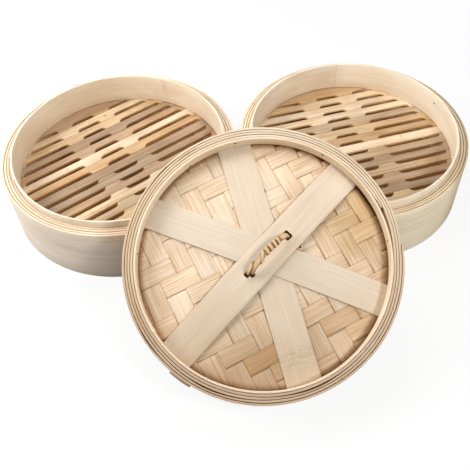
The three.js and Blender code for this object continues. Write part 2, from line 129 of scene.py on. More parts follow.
# How far the bamboo's own tone is changed, in red, green and blue: most are painted shade or painted light, a
# few are tones of the bamboo itself
# painted shade on the faces of a wound strip that the next turn covers
GAP_PAINTED_SHADE = (0.42, 0.32, 0.24)          # between the turns of a wound strip
RIM_TONE = (0.92, 0.85, 0.76)           # the upper edge of a wall
END_SHADE = (0.62, 0.45, 0.3)           # the outer end of the left wall's strip
# painted shade on the right wall's outer face towards its far side
FLANK_PAINTED_SHADE = (0.71, 0.69, 0.61)        # the right wall's side away from the left basket
# painted shade on the rings and bars that lie below a floor
BELOW_PAINTED_SHADE = (0.84, 0.7, 0.54)         # rings and bars below a floor
# the warmer inner bamboo of a slat's sides, with painted light on them as well
SAWN_TONE_AND_PAINTED_LIGHT = (1.22, 1.06, 0.84)         # the sides of a slat
# painted shadow on a splint where it dives below another
DIVE_PAINTED_SHADOW = (0.42, 0.29, 0.18)         # a splint where it dives below another
# painted highlight on a splint where it comes up
PAINTED_HIGHLIGHT = (1.07, 1.08, 1.1)           # a splint where it comes up
# painted shadow on the weave along the lid's ring
RIM_PAINTED_SHADOW = (0.42, 0.29, 0.18)          # the weave along the lid's ring
RIGHT_WEAVE_SHADE = (0.73, 0.65, 0.5)          # the weave at the lid's right
# painted shade growing towards the lid's front, on the weave, the straps and the skirt
FRONT_WEAVE_PAINTED_SHADE = (0.61, 0.54, 0.45)  # the weave at the lid's front
FRONT_STRAP_PAINTED_SHADE = (0.82, 0.78, 0.73)        # the straps at the lid's front
FRONT_SKIRT_PAINTED_SHADE = (0.72, 0.65, 0.6)   # the skirt at the lid's front
LEFT_SKIRT_SHADE = (0.9, 0.85, 0.77)    # the skirt at the lid's left
# painted shade inside the handle's holes and on what lies below them
HOLE_PAINTED_SHADE = (0.2, 0.09, 0.03)          # inside the handle's holes
# painted shade on the arch between the turns wound round it
HIDDEN_PAINTED_SHADE = (0.36, 0.24, 0.14)       # the arch of cane between the turns wound round it
WORN_SHADE = (0.84, 0.66, 0.52)         # the end of the arch where no cane is wound round it
# painted shade on cane inside a hole
SUNK_PAINTED_SHADE = (0.3, 0.18, 0.1)           # cane inside a hole
# painted shade along the edges of the cane and on its lower face
CANE_EDGE_PAINTED_SHADE = (0.4, 0.28, 0.18)           # the edges and the inside of split cane

# Directions in degrees, the rest in millimetres. off_end is how far the outer end of a wall's strip stands
# off. A peg has its direction and height. Tones run from the back slat to the front one
BASKETS = {
    "left": {
        "slat_turn": 33.3, "slot_shift": -1.0, "strip_end": 119.0, "off_end": 1.4, "hoop_seam": -42.0,
        "hoop_node": 66.0, "end_shade": END_SHADE, "flank_painted_shade": 1.0,
        "pegs": [("hoop_peg", -80.0, 62.03), ("ring_peg_1", -97.2, 9.6), ("ring_peg_2", -94.3, 9.6)],
        "tones": "pink cream tan grey pink pale orange grey grey pink cream olive tan cream tan",
    },
    "right": {
        "slat_turn": 11.9, "slot_shift": 4.8, "strip_end": -105.0, "off_end": 0.3, "hoop_seam": 91.0,
        "hoop_node": -62.0, "end_shade": 1.0, "flank_painted_shade": FLANK_PAINTED_SHADE,
        "pegs": [("hoop_peg", 23.0, 65.96), ("ring_peg", -60.0, 15.99)],
        "tones": "orange cream pale pale olive tan orange pale olive grey olive pink grey tan cream",
    },
}
SLATS_BESIDE = 7   # slats to each side of the centre one
LID_STRIP_END = 1.2
# Where the lid's turns stand apart: direction and its spread, turn counted from outside, and how far
LOOSE_TURNS = [(-73, 11, 2, 0.8), (-148, 7, 0, 0.6), (-117, 12, 1, 0.7), (135, 6, 1, 0.6),
               (121, 5, 2, 0.6), (47, 9, 2, 0.35), (172, 30, 0, -0.3)]
# A loose tab of the skirt's strip: its ends, how far off it stands, and its thickness, foot and top
TAB_FROM, TAB_TO, TAB_OFF, TAB_SIZE = -125.4, -134.6, 2.3, (1.7, 12.0, 29.0)
LID_PEGS = [("lid_peg_1", 4.0, 40.8), ("lid_peg_2", 56.3, 43.6), ("lid_peg_3", 99.1, 43.41),
            ("lid_peg_4", 122.9, 36.59), ("lid_peg_5", 173.0, 40.4)]
# Name, direction, distance from the centre and width, and where its joint of the cane lies along it
STRAPS = [
    ("lid_strap_lower", -78.3, 3.6, 32.0, 92.0),
    ("lid_strap_middle", -25.5, 4.7, 30.0, 165.0),
    ("lid_strap_upper", 43.1, 0.5, 32.0, 165.0),
]
TOP_STRAP = 2      # the strap that carries the handle
_, TOP_TURN, TOP_OFFSET, _, _ = STRAPS[TOP_STRAP]

# Edges of the splints of the weave, in a frame turned on the lid. Those laid down fan out a little: their
# edges are given at FAN_LOW and at FAN_HIGH. FIRST_ACROSS and FIRST_DOWN are the numbers of the first splints
WEAVE_TURN = 21.8
LINING_TURN = WEAVE_TURN + 18
ACROSS_EDGES = [-130, -116, -101, -86.5, -71, -55, -40, -24, -7.5, 8.5, 24.5, 41.5, 58, 76, 92, 108, 122]
FIRST_ACROSS = -9
DOWN_EDGES_LOW = [-130, -112, -92, -73, -56, -38, -20, 1, 20, 38, 56, 73, 90, 106, 122]
DOWN_EDGES_HIGH = [-131, -112, -95, -77, -60, -43, -25, -6, 12, 30, 46, 61, 76, 91, 106]
FIRST_DOWN = -1
FAN_LOW, FAN_HIGH = -90, 90
BROWNED = {-7: 0.3, -6: 0.6, -5: 0.1, -4: 0.1}   # how brown some splints laid across are, by number

# Where the holes for the cane lie along and across the uppermost strap, and how long and wide they are
HANDLE_HOLES = [(-20.8, 1.2, 4.8, 5.2), (-17.6, -1.9, 4.6, 5.6), (30.8, -1.2, 7.2, 8.4)]
# The arch leans sideways at its top and bends a little near the single hole. Its height is above the strap
# at HANDLE_SHIFT along it
HANDLE_LEAN, HANDLE_SKEW, HANDLE_SHIFT, HANDLE_HEIGHT = 2.6, 0.9, 8.1, 14.0
LEG_DEPTH = 5      # how far the arch's ends go down below its foot
# Shares of the arch where the second strand starts beside it, starts to wind round it, winds tightly and ends
WOUND_FROM, WOUND_LIE, WOUND_TIGHT, WOUND_TO = 0.06, 0.16, 0.46, 0.72
WOUND_TURNS = 4.2
# The end of the cane below the uppermost strap: along and across it, and depth below its face
CANE_TAIL = [(33.9, -10.0, 2.3), (34.0, -13.0, 2.1), (33.8, -15.4, 2.0), (33.2, -17.6, 1.3),
             (31.9, -19.2, 0.9), (30.3, -19.2, 1.1), (29.2, -17.8, 1.6), (29.0, -15.8, 2.1), (29.2, -13.0, 2.3)]


# ---------------------------------------------------------------- what a user may change

def srgb(code):
    """A colour as it is written on a paint card, in the linear values that a shader takes"""
    parts = [int(code[i:i + 2], 16) / 255 for i in (0, 2, 4)]
    return tuple(part / 12.92 if part <= 0.04045 else ((part + 0.055) / 1.055) ** 2.4 for part in parts)


def length(name, description, default):
    return FloatProperty(name=name, description=description, default=default, min=0, subtype="DISTANCE",
                         unit="LENGTH")


def colour(name, description, code):
    return FloatVectorProperty(name=name, description=description, default=srgb(code), size=3, min=0, max=1,
                               subtype="COLOR")


def number(name, description, default, low=0):
    return FloatProperty(name=name, description=description, default=default, min=low)


class SteamerSizes(bpy.types.PropertyGroup):
    """Sizes of the strips, slats, splints and cane"""
    wall_height: length("Wall height", "Height of the wound wall of a basket", top_of("left_wound_wall"))
    wall_start: length("Wall start", "Inner radius of the wound wall", 0.1162)
    wall_strip: length("Wall strip", "Thickness of the strip that is wound into a wall", 0.00227)
    wall_gap: length("Wall gap", "Gap between two turns of a wall", 0.00055)
    wall_turns: number("Wall turns", "Turns of the strip in a wall", 3.95, 1)
    hoop_radius: length("Hoop radius", "Outer radius of the bent hoops and rings", reach_of("left_upper_hoop"))
    hoop_thickness: length("Hoop thickness", "Thickness of the bent hoops and rings", 0.0022)
    hoop_top: length("Hoop top", "Height of the upper hoop's edge", top_of("left_upper_hoop"))
    hoop_low: length("Hoop foot", "Height of the upper hoop's lower edge", bottom_of("left_upper_hoop"))
    ring_low: length("Ring foot", "Height of the lower ring's lower edge", bottom_of("left_lower_ring"))
    ring_top: length("Ring top", "Height of the lower ring's upper edge", top_of("left_lower_ring"))
    floor_top: length("Floor top", "Height of the slats' upper faces", top_of("left_slat_08"))
    floor_radius: length("Floor radius", "Radius of the slatted floor", 0.1159)
    slat_thickness: length("Slat thickness", "Thickness of a slat", 0.003)
    slat_pitch: length("Slat pitch", "From one slat to the next", 0.0142)
    slat_joint: length("Slat joint", "Gap between neighbouring slats", 0.0004)
    centre_slat: length("Centre slat", "Width of the plain slat in the middle", 0.012)
    slat_shift: length("Slat shift", "How far the row of slats lies off the centre", 0.002)
    slot_width: length("Slot width", "Depth of a slot into its slat", 0.0051)
    slot_round: length("Slot rounding", "Rounding of the slots' ends", 0.0056)
    short_slot: length("Short slot", "Length of the middle slots", 0.03)
    bridge: length("Bridge", "Solid stretch between two slots", 0.019)
    bar_width: length("Floor bar width", "Width of the two bars under the slats", 0.013)
    bar_low: length("Floor bar foot", "Height of the floor bars' lower faces", bottom_of("left_crossbar_1"))
    lid_height: length("Lid height", "Height of the lid's skirt", 0.0476)
    lid_strip: length("Skirt strip", "Thickness of the strip that is wound into the skirt", 0.00198)
    lid_gap: length("Skirt gap", "Gap between two turns of the skirt", 0.00047)
    lid_turns: number("Skirt turns", "Turns of the strip in the skirt", 3.95, 1)
    lid_start: length("Skirt start", "Inner radius of the skirt", 0.1177)
    lid_ring_radius: length("Lid ring radius", "Inner radius of the lid's thin rings", 0.115)
    weave_depth: length("Weave depth", "From the lid's rim down to the edge of the weave", 0.016)
    weave_rise: length("Weave rise", "How far the weave domes up in the middle", 0.0045)
    splint: length("Splint", "Thickness of a splint of the weave", 0.0008)
    splint_lift: length("Splint lift", "How far a splint rises and dips as it is woven", 0.00085)
    strap: length("Strap", "Thickness of a strap", 0.0013)
    strap_gap: length("Strap gap", "Between straps where they cross", 0.0005)
    cane_width: length("Cane width", "Width of the split cane of the arch", 0.0054)
    cane: length("Cane", "Thickness of the split cane of the arch", 0.0014)
    strand_width: length("Strand width", "Width of the strand wound round the arch", 0.0031)
    strand: length("Strand", "Thickness of the strand wound round the arch", 0.0011)
    peg_radius: length("Peg radius", "Radius of the bamboo pegs", 0.0014)


class SteamerColours(bpy.types.PropertyGroup):
    """Tones of the bamboo and cane"""
    left_wall: colour("Left wall", "Strip of the left basket's wall", "f6e8da")
    right_wall: colour("Right wall", "Strip of the right basket's wall", "f7ebd6")
    skirt: colour("Skirt", "Strip of the lid's skirt", "e2cfb8")
    hoop: colour("Hoop", "Bent hoops and rings", "f7ecdb")
    strap: colour("Strap", "Wide straps of the lid", "dccdbb")
    splint: colour("Splint", "Pale splints of the weave", "e5d1ba")
    gold: colour("Golden splint", "Golden splints of the weave", "d8ba8f")
    brown: colour("Brown splint", "Brown splints of the weave", "caa575")
    pale: colour("Pale slat", "Palest slats", "dfcbb0")
    cream: colour("Cream slat", "Cream slats", "dbc6a7")
    tan: colour("Tan slat", "Tan slats", "d2b896")
    orange: colour("Orange slat", "Orange-tan slats", "c6a57f")
    pink: colour("Pink slat", "Pinkish slats", "b4997f")
    grey: colour("Grey slat", "Grey-brown slats", "a58e77")
    olive: colour("Olive slat", "Grey-olive slats", "bca589")
    cane: colour("Cane", "Cane of the handle", "d9bc94")
    peg: colour("Peg", "Bamboo pegs and the nail", "6e4a2a")
    pale_peg: colour("Pale peg", "The pegs low in the baskets' walls", "b48f78")
    ring: colour("Lid ring", "Thin rings of the lid", "e9d7c0")


class SteamerStage(bpy.types.PropertyGroup):
    """Floor, lamps and camera"""
    floor: colour("Floor", "Colour of the table as the camera sees it", "ffffff")
    floor_in_light: colour("Floor in light", "Colour that the table gives the light it sends back", "b4b4b4")
    # Painted on the table under a basket's slats, as their shade and as warm light off the bamboo
    painted_shade_below: colour("Floor below", "Colour of the shaded table under a basket's slats", "bb8c58")
    white_share: FloatProperty(name="White share", default=0.86, min=0, max=1, subtype="FACTOR",
                               description="How much of the table is plain white to the camera")
    sky: number("Sky", "Strength of the even light from all round", 0.02)
    left: number("Left lamp", "Power of the lamp high at the left, in watts", 9.2)
    low_left: number("Low left lamp", "Power of the lamp low at the left, in watts", 1.3)
    back: number("Back lamp", "Power of the near lamp behind the left, in watts", 1.27)
    right: number("Right lamp", "Power of the small lamp at the front right, in watts", 7.5)
    low_right: number("Low right lamp", "Power of the lamp low at the front right, in watts", 2.7)
    top: number("Top lamp", "Power of the near lamp above, in watts", 1.68)
    lens: FloatProperty(name="Lens", description="Focal length on a 36 mm sensor", default=50.36, min=1,
                        unit="CAMERA")


def keys_of(group):
    return [key for key in group.bl_rna.properties.keys() if key not in {"rna_type", "name"}]


def in_millimetres(group):
    """A group's values by name, with its lengths in millimetres"""
    units = {key: group.bl_rna.properties[key].unit for key in keys_of(group)}
    return SimpleNamespace(**{key: getattr(group, key) / (MM if unit == "LENGTH" else 1)
                              for key, unit in units.items()})


def values(context):
    """The sizes in millimetres and the tones"""
    return in_millimetres(context.scene.steamer_sizes), context.scene.steamer_colours


# ---------------------------------------------------------------- shapes

# Points in millimetres, faces, and for each point its place in the bamboo: along and across the fibres, and a
# number of its own for the strip. shade scales the bamboo's own tone there, for painted shade and light as well
# as its own marks
Shape = namedtuple("Shape", "points faces grain shade", defaults=(1.0,))
BEVEL = 0.293        # how far the middle of a rounded edge draws in: 1 - cos 45 degrees
NO_NODE = -900.0     # so far from a strip's start that no joint of the cane shows on it
SHARP_FROM = 38      # the least angle of an edge that stays sharp, in degrees
PRISM_LEVELS = 6     # how many outlines a prism has from its lower face to its upper one
ASLANT = (0.3, 0.2, 0.93)                     # a direction that none of the pegs has
PEG_END = [(0, 0.6), (0.15, 0.86), (0.4, 1)]  # distance from a peg's end, and the share of its radius there


def added_up(steps):
    return np.concatenate([[0], np.cumsum(steps)])


def unit(vectors):
    return vectors / np.linalg.norm(vectors, axis=-1, keepdims=True)


def smooth(share):
    share = np.clip(share, 0, 1)
    return share * share * (3 - 2 * share)


def grown(value, start, over):
    """A share that is 0 up to a start and grows to 1 over some distance from there"""
    return smooth((value - start) / over)


def fading(share, shade):
    """From a tone left as it is, where the share is 0, to one darkened by a shade"""
    return 1 - share[..., None] * (1 - np.array(shade))


def darkened(shape, share, shade):
    """A part that takes a share of a shade at each of its points"""
    own = np.broadcast_to(np.array(shape.shade, float), (len(shape.points), 3))
    return shape._replace(shade=own * fading(share, shade))


def ripple(name, waves=(2, 3, 5, 7, 11)):
    """A closed wave round a ring, within -1 and 1"""
    draw = random.Random(name)
    parts = [(count, draw.uniform(0.4, 1) / math.sqrt(count), draw.uniform(0, TAU)) for count in waves]
    total = sum(size for _, size, _ in parts)
    return lambda angle: sum(size * np.sin(count * angle + start) for count, size, start in parts) / total


def lines_across(width, rounding, inner=0):
    """Where the lines along a strip lie across it, and how far its faces draw in there to round its edges"""
    near = [0, BEVEL * rounding, rounding]
    draw_in = near[::-1]
    middle = list(np.linspace(rounding, width - rounding, inner + 2)[1:-1])
    place = near + middle + [width - x for x in reversed(near)]
    return np.array(place) - width / 2, np.array(draw_in + [0] * inner + draw_in[::-1], float)


def loft(sections, grain):
    """Skin through sections with the same number of points, with a face at each end"""
    count, ring = sections.shape[:2]
    index = np.arange(count * ring).reshape(count, ring)
    beside = np.roll(index, -1, axis=1)
    quads = np.stack([index[:-1], beside[:-1], beside[1:], index[1:]], axis=-1).reshape(-1, 4)
    faces = quads.tolist() + [index[0, ::-1].tolist(), index[-1].tolist()]
    return Shape(sections.reshape(-1, 3), faces, grain.reshape(-1, 3))


def slab(upper, lower, along, across, seed):
    """A strip between two grids of points"""
    sections = np.concatenate([upper, lower[:, ::-1]], axis=1)
    flow = np.concatenate([along, along[:, ::-1]], axis=1)
    wide = np.concatenate([across, across[:, ::-1]], axis=1)
    grain = np.stack([flow, wide, np.full_like(flow, seed)], axis=-1)
    return loft(sections, grain)


def bent_strip(angles, outer, thick, low, high, rounding, seed, node_at=NO_NODE, belly=0.0):
    """A strip on edge bent round Z, with one value of each kind for each of its stations. belly is how much
    further it reaches inwards halfway up"""
    width = float(np.mean(high - low))
    place, draw_in = lines_across(width, rounding, 2)
    share = (place + width / 2) / width
    heights = low[:, None] + (high - low)[:, None] * share
    cos, sin = np.cos(angles)[:, None], np.sin(angles)[:, None]

    def face(radius):
        return np.stack([radius * cos, radius * sin, heights], axis=-1)

    outside = outer[:, None] - draw_in
    middle_half = np.abs(share - 0.5) < 0.25
    inside = (outer - thick)[:, None] + draw_in - np.broadcast_to(belly, len(angles))[:, None] * middle_half
    along = added_up(np.abs(np.diff(angles)) * outer[1:]) - node_at
    along = np.repeat(along[:, None], len(place), axis=1)
    across = np.repeat(heights.mean(0)[None], len(angles), axis=0)
    return slab(face(outside), face(inside), along, across, seed)


def prism(outline, low, high, rounding, seed=0.0):
    """An upright solid on an outline, with rounded upper and lower edges"""
    outline = np.array(outline, float)
    before = outline - np.roll(outline, 1, axis=0)
    after = np.roll(outline, -1, axis=0) - outline
    normals = [unit(np.stack([edge[:, 1], -edge[:, 0]], -1)) for edge in (before, after)]
    mitre = normals[0] + normals[1]
    mitre /= np.maximum(0.5, (mitre * normals[0]).sum(1))[:, None]
    area = (outline[:, 0] * np.roll(outline[:, 1], -1) - outline[:, 1] * np.roll(outline[:, 0], -1)).sum()
    outward = mitre * (1 if area > 0 else -1)
    bevel = BEVEL * rounding
    levels = [(low, rounding), (low + bevel, bevel), (low + rounding, 0),
              (high - rounding, 0), (high - bevel, bevel), (high, rounding)]
    sections = np.array([np.column_stack([outline - outward * inset, np.full(len(outline), height)])
                         for height, inset in levels])
    grain = np.array(sections)
    grain[..., 1] += 0.4 * sections[..., 2]
    grain[..., 2] = seed
    return loft(sections, grain)


def ribbon(points, normals, width, thick, rounding, seed, shade=1.0):
    """A flat strip along a line of points, its face turned to the normals, with painted shade on its edges and
    lower face
    """
    edge, crowned = 0.24, 0.12
    points, normals = np.array(points, float), np.array(normals, float)
    forward = unit(np.gradient(points, axis=0))
    normals = unit(normals - (normals * forward).sum(1)[:, None] * forward)
    sideways = np.cross(forward, normals)
    width = np.broadcast_to(width, len(points))
    place, draw_in = lines_across(1, edge, 1)
    crown = 1 - (2 * place) ** 2
    draw_in = draw_in / edge * rounding
    across = place[None] * width[:, None]
    centre = points[:, None] + sideways[:, None] * across[..., None]
    half = np.broadcast_to(np.maximum(0.1, thick / 2 - draw_in + crowned * crown), across.shape)[..., None]
    upper = centre + normals[:, None] * half
    lower = centre - normals[:, None] * half
    along = added_up(np.linalg.norm(np.diff(points, axis=0), axis=1))
    along = np.repeat(along[:, None], len(place), axis=1)
    tones = np.broadcast_to(np.array(shade, float), (len(points), 3))[:, None].repeat(2 * len(place), axis=1)
    # Painted shade along the edges and on the lower face
    tones[:, [0, len(place) - 1]] *= CANE_EDGE_PAINTED_SHADE
    tones[:, [1, len(place) - 2]] *= np.sqrt(CANE_EDGE_PAINTED_SHADE)
    tones[:, len(place):] *= CANE_EDGE_PAINTED_SHADE
    return slab(upper, lower, along, across, seed)._replace(shade=tones.reshape(-1, 3))


def rod(start, end, radius, seed):
    """A peg between two points, whittled a little unevenly and rounded at its ends"""
    start, end = np.array(start, float), np.array(end, float)
    span = np.linalg.norm(end - start)
    forward = (end - start) / span
    side = unit(np.cross(forward, ASLANT))
    other = np.cross(forward, side)
    turns = np.linspace(0, TAU, 12, endpoint=False)
    draw = random.Random(f"peg {seed}")
    uneven = np.array([draw.uniform(0.9, 1.08) for _ in turns])
    spokes = np.cos(turns)[:, None] * side + np.sin(turns)[:, None] * other
    stations = PEG_END + [(span - distance, share) for distance, share in reversed(PEG_END)]
    sections = np.array([start + forward * distance + spokes * (radius * share * uneven)[:, None]
                         for distance, share in stations])
    grain = np.stack([(sections - start) @ forward, (sections - start) @ side,
                      np.full(sections.shape[:2], float(seed)) + (sections - start) @ other], axis=-1)
    return loft(sections, grain)


def turned(shape, degrees):
    cos, sin = math.cos(np.radians(degrees)), math.sin(np.radians(degrees))
    spin = np.array([[cos, -sin, 0], [sin, cos, 0], [0, 0, 1]])
    return shape._replace(points=shape.points @ spin.T)


def placed_mesh(name, shapes, place):
    """One mesh of several shapes in the row's frame"""
    points = np.concatenate([shape.points for shape in shapes])
    points = (points @ place[:3, :3].T + place[:3, 3]) * MM
    faces, start = [], 0
    for shape in shapes:
        faces += [[corner + start for corner in face] for face in shape.faces]
        start += len(shape.points)
    mesh = bpy.data.meshes.new(name)
    mesh.from_pydata(points.tolist(), [], faces)
    mesh.update()
    work = bmesh.new()
    work.from_mesh(mesh)
    bmesh.ops.recalc_face_normals(work, faces=work.faces)
    work.to_mesh(mesh)
    work.free()
    return mesh


def write_points(mesh, name, vectors):
    attribute = mesh.attributes.new(name, "FLOAT_VECTOR", "POINT")
    attribute.data.foreach_set("vector", np.asarray(vectors, np.float32).reshape(-1))


def add_piece(name, shapes, body, replaced, slot, tints):
    """Sets a finished piece in the row. tints is one colour, or one for each shape"""
    mesh = placed_mesh(name, shapes, PLACES[body])
    mesh.shade_smooth()
    mesh.set_sharp_from_angle(angle=math.radians(SHARP_FROM))
    if not isinstance(tints, list):
        tints = [tints] * len(shapes)
    write_points(mesh, "grain", np.concatenate([shape.grain for shape in shapes]))
    # The tint at each point is the piece's tone times its shade, painted shade and light included
    write_points(mesh, "tint", np.concatenate(
        [np.broadcast_to(np.array(tint, float) * shape.shade, (len(shape.points), 3))
         for shape, tint in zip(shapes, tints)]))
    mesh.materials.append(bamboo_finish(**FINISHES[slot]))
    piece = bpy.data.objects.new(name, mesh)
    bpy.context.scene.collection.objects.link(piece)
    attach(piece, body)
    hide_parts(*replaced)


def varied(tint, name, amount):
    """A tone that differs a little from one piece of bamboo to the next"""
    draw = random.Random(name)
    light = 1 + draw.uniform(-amount, amount)
    warm = draw.uniform(-amount, amount) / 3
    return (tint[0] * (light + warm), tint[1] * light, tint[2] * (light - 2 * warm))


def mixed(first, second, share):
    return tuple(a + (b - a) * share for a, b in zip(first, second))


def seed_of(name):
    return random.Random(name).uniform(0, 50)


def with_holes(shape, cutters, grain_of):
    """A shape with holes through it, and the grain worked out anew"""
    scene = bpy.context.scene
    plain = np.eye(4)
    whole = bpy.data.objects.new("whole", placed_mesh("whole", [shape], plain))
    helpers = [whole] + [bpy.data.objects.new("cutter", placed_mesh("cutter", [cutter], plain))
                         for cutter in cutters]
    for helper in helpers:
        scene.collection.objects.link(helper)
    for cutter in helpers[1:]:
        cut = whole.modifiers.new("hole", "BOOLEAN")
        cut.operation, cut.solver, cut.object = "DIFFERENCE", "EXACT", cutter
    bpy.context.view_layer.update()
    result = whole.evaluated_get(bpy.context.evaluated_depsgraph_get()).to_mesh()
    points = np.array([corner.co for corner in result.vertices], float) / MM
    faces = [list(face.vertices) for face in result.polygons]
    whole.to_mesh_clear()
    for helper in helpers:
        bpy.data.objects.remove(helper)
    if len(points) == 0:
        raise RuntimeError("cutting the holes left nothing of the strap")
    return Shape(points, faces, grain_of(points))


# ---------------------------------------------------------------- finishes

def add_node(tree, kind, inputs=(), **settings):
    """A shader node, with its settings and with its inputs set or linked"""
    made = tree.nodes.new(kind)
    for key, value in settings.items():
        setattr(made, key, value)
    for key, value in dict(inputs).items():
        if isinstance(value, bpy.types.NodeSocket):
            tree.links.new(value, made.inputs[key])
        else:
            made.inputs[key].default_value = value
    return made


def point_value(tree, name):
    return add_node(tree, "ShaderNodeAttribute", attribute_name=name,
                    attribute_type="GEOMETRY").outputs["Vector"]


def scaled(tree, vector, factors):
    return add_node(tree, "ShaderNodeVectorMath", {0: vector, 1: factors}, operation="MULTIPLY").outputs[0]


def stretched_noise(tree, grain, stretch, detail, rough, distort=0.0):
    """Noise drawn out along the fibres: stretch is how fast it changes along, across and from piece to piece"""
    return add_node(tree, "ShaderNodeTexNoise",
                    {"Vector": scaled(tree, grain, stretch), "Scale": 1.0, "Detail": detail, "Roughness": rough,
                     "Distortion": distort}).outputs[0]


def mapped(tree, value, low, high, to_low, to_high):
    return add_node(tree, "ShaderNodeMapRange",
                    {0: value, 1: low, 2: high, 3: to_low, 4: to_high}).outputs[0]


def swung(tree, noise, amount):
    """Noise as a share to either side of 0"""
    return mapped(tree, noise, 0.25, 0.75, -0.5 * amount, 0.5 * amount)


def sum_of(tree, total, *others):
    for other in others:
        total = add_node(tree, "ShaderNodeMath", {0: total, 1: other}, operation="ADD").outputs[0]
    return total


def product(tree, first, second):
    return add_node(tree, "ShaderNodeMath", {0: first, 1: second}, operation="MULTIPLY").outputs[0]


def blended(tree, share, first, second):
    return add_node(tree, "ShaderNodeMix", {0: share, 6: first, 7: second}, data_type="RGBA",
                    clamp_factor=True).outputs[2]


# How the marks of bamboo are drawn out: how fast they change along, across and from one strip to the next
BANDS, CLOUDS, FLECKS = (0.012, 0.42, 1.3), (0.018, 0.035, 1.7), (0.3, 3.2, 1.1)
PATCHES, WRINKLES = (0.013, 0.03, 2.3), (0.55, 0.1, 1.0)
# Golden patches and wrinkles are tones of the bamboo; the glossy streaks' lighter, bluer tone is a painted
# sheen
GOLDEN, WRINKLED, PAINTED_SHEEN = (1.1, 1.06, 0.94), (0.76, 0.7, 0.62), (1.16, 1.22, 1.34)

# Each kind of piece: how strong its fibres, clouds, bands, flecks, glossy streaks with their painted sheen and
# golden patches are, how many of its fine fibres and streaks lie on a millimetre, and how far wrinkles reach
# from a joint of the cane
FINISHES = {
    "wound_bamboo": dict(name="wound bamboo strip", fibre=0.45, band=0.45, fleck=0.15, relief=0.35,
                         fine_width=1.1, rough=(0.55, 0.72), sheen=0.15),
    "hoop_bamboo": dict(name="bent bamboo hoop", fibre=0.4, band=0.35, fleck=0.2, relief=0.3,
                        rough=(0.42, 0.6), node_width=5.0),
    "slat_bamboo": dict(name="split bamboo slat", fibre=1.0, cloud=0.9, band=0.9, fleck=0.5, fine_width=1.2,
                        dark=(0.74, 0.63, 0.5), node_width=2.5, patch=0.6),
    "woven_bamboo": dict(name="woven bamboo splint", fibre=1.25, cloud=1.0, band=0.7, gloss_and_painted_sheen=0.75, relief=0.9,
                         fine_width=1.9, gloss_width=1.5, rough=(0.32, 0.58), dark=(0.8, 0.68, 0.52)),
    "strap_bamboo": dict(name="wide bamboo strap", fibre=0.35, cloud=0.35, band=0.3, fleck=0.12, relief=0.35,
                         node_width=12.0, sheen=0.25),
    "cane": dict(name="split cane", gloss_and_painted_sheen=0.3, rough=(0.35, 0.55), dark=(0.74, 0.62, 0.48)),
    "peg_bamboo": dict(name="whittled bamboo peg", cloud=0.4, band=0.4, fleck=0.6, relief=0.8,
                       dark=(0.55, 0.5, 0.45), rough=(0.55, 0.75)),
}


def bamboo_finish(name, fibre=0.8, cloud=0.5, band=0.5, fleck=0.4, gloss_and_painted_sheen=0.0, gloss_width=0.95, relief=0.6,
                  fine_width=1.7, node_width=0.0, dark=(0.80, 0.70, 0.56), light=(1.05, 1.05, 1.04),
                  rough=(0.45, 0.62), sheen=0.3, patch=0.0):
    """Split bamboo: fibres, flecks, slow clouds of tone, the wrinkles where a joint of the cane was, and glossy
    streaks with a painted sheen
    """
    found = bpy.data.materials.get(name)
    if found:
        return found
    finish = bpy.data.materials.new(name)
    finish.use_nodes = True
    tree = finish.node_tree
    grain, tint = point_value(tree, "grain"), point_value(tree, "tint")
    fine = stretched_noise(tree, grain, (0.03, fine_width, 1.0), 3.0, 0.6)
    broad = stretched_noise(tree, grain, BANDS, 2.0, 0.5)
    clouds = stretched_noise(tree, grain, CLOUDS, 2.0, 0.5, 0.4)
    flecks = stretched_noise(tree, grain, FLECKS, 1.0, 0.5)
    even = 0.62    # the share of light fibres in bamboo without any marks
    share = sum_of(tree, swung(tree, fine, fibre), swung(tree, broad, band), swung(tree, clouds, cloud),
                   mapped(tree, flecks, 0.62, 0.8, even, even - fleck))
    colour_out = blended(tree, share, scaled(tree, tint, dark), scaled(tree, tint, light))
    height = sum_of(tree, product(tree, fine, 0.6), product(tree, broad, 0.5))
    if patch:
        # Golden stretches along a slat
        patches = mapped(tree, stretched_noise(tree, grain, PATCHES, 1.0, 0.5), 0.44, 0.6, 0.0, patch)
        colour_out = blended(tree, patches, colour_out, scaled(tree, colour_out, GOLDEN))

    if node_width:
        # Rows of small wrinkles across the fibres, where along is 0
        apart = add_node(tree, "ShaderNodeSeparateXYZ", {0: grain})
        away = add_node(tree, "ShaderNodeMath", {0: apart.outputs[0]}, operation="ABSOLUTE").outputs[0]
        near = mapped(tree, away, node_width, 0.45 * node_width, 0.0, 1.0)
        rows = mapped(tree, stretched_noise(tree, grain, WRINKLES, 2.0, 0.55, 0.9), 0.5, 0.57, 0.0, 1.0)
        wrinkles = product(tree, near, rows)
        colour_out = blended(tree, product(tree, wrinkles, 0.6), colour_out, scaled(tree, tint, WRINKLED))
        height = sum_of(tree, height, product(tree, wrinkles, -0.7))

    # Glossy fibres in the outer skin: lower roughness, and a painted sheen that makes them lighter and bluer
    skin = stretched_noise(tree, grain, (0.02, gloss_width, 1.9), 1.0, 0.4)
    streaks = mapped(tree, skin, 0.5, 0.62, 0.0, gloss_and_painted_sheen)
    colour_out = blended(tree, streaks, colour_out, scaled(tree, tint, PAINTED_SHEEN))
    roughness = mapped(tree, sum_of(tree, fine, product(tree, streaks, -0.5)), 0.0, 0.8, *rough)
    bump = add_node(tree, "ShaderNodeBump", {"Height": height, "Strength": relief, "Distance": 0.0002})
    shader = tree.nodes["Principled BSDF"]
    tree.links.new(colour_out, shader.inputs["Base Color"])
    tree.links.new(roughness, shader.inputs["Roughness"])
    tree.links.new(bump.outputs[0], shader.inputs["Normal"])
    shader.inputs["Specular IOR Level"].default_value = sheen
    return finish


# ---------------------------------------------------------------- wound and bent strips

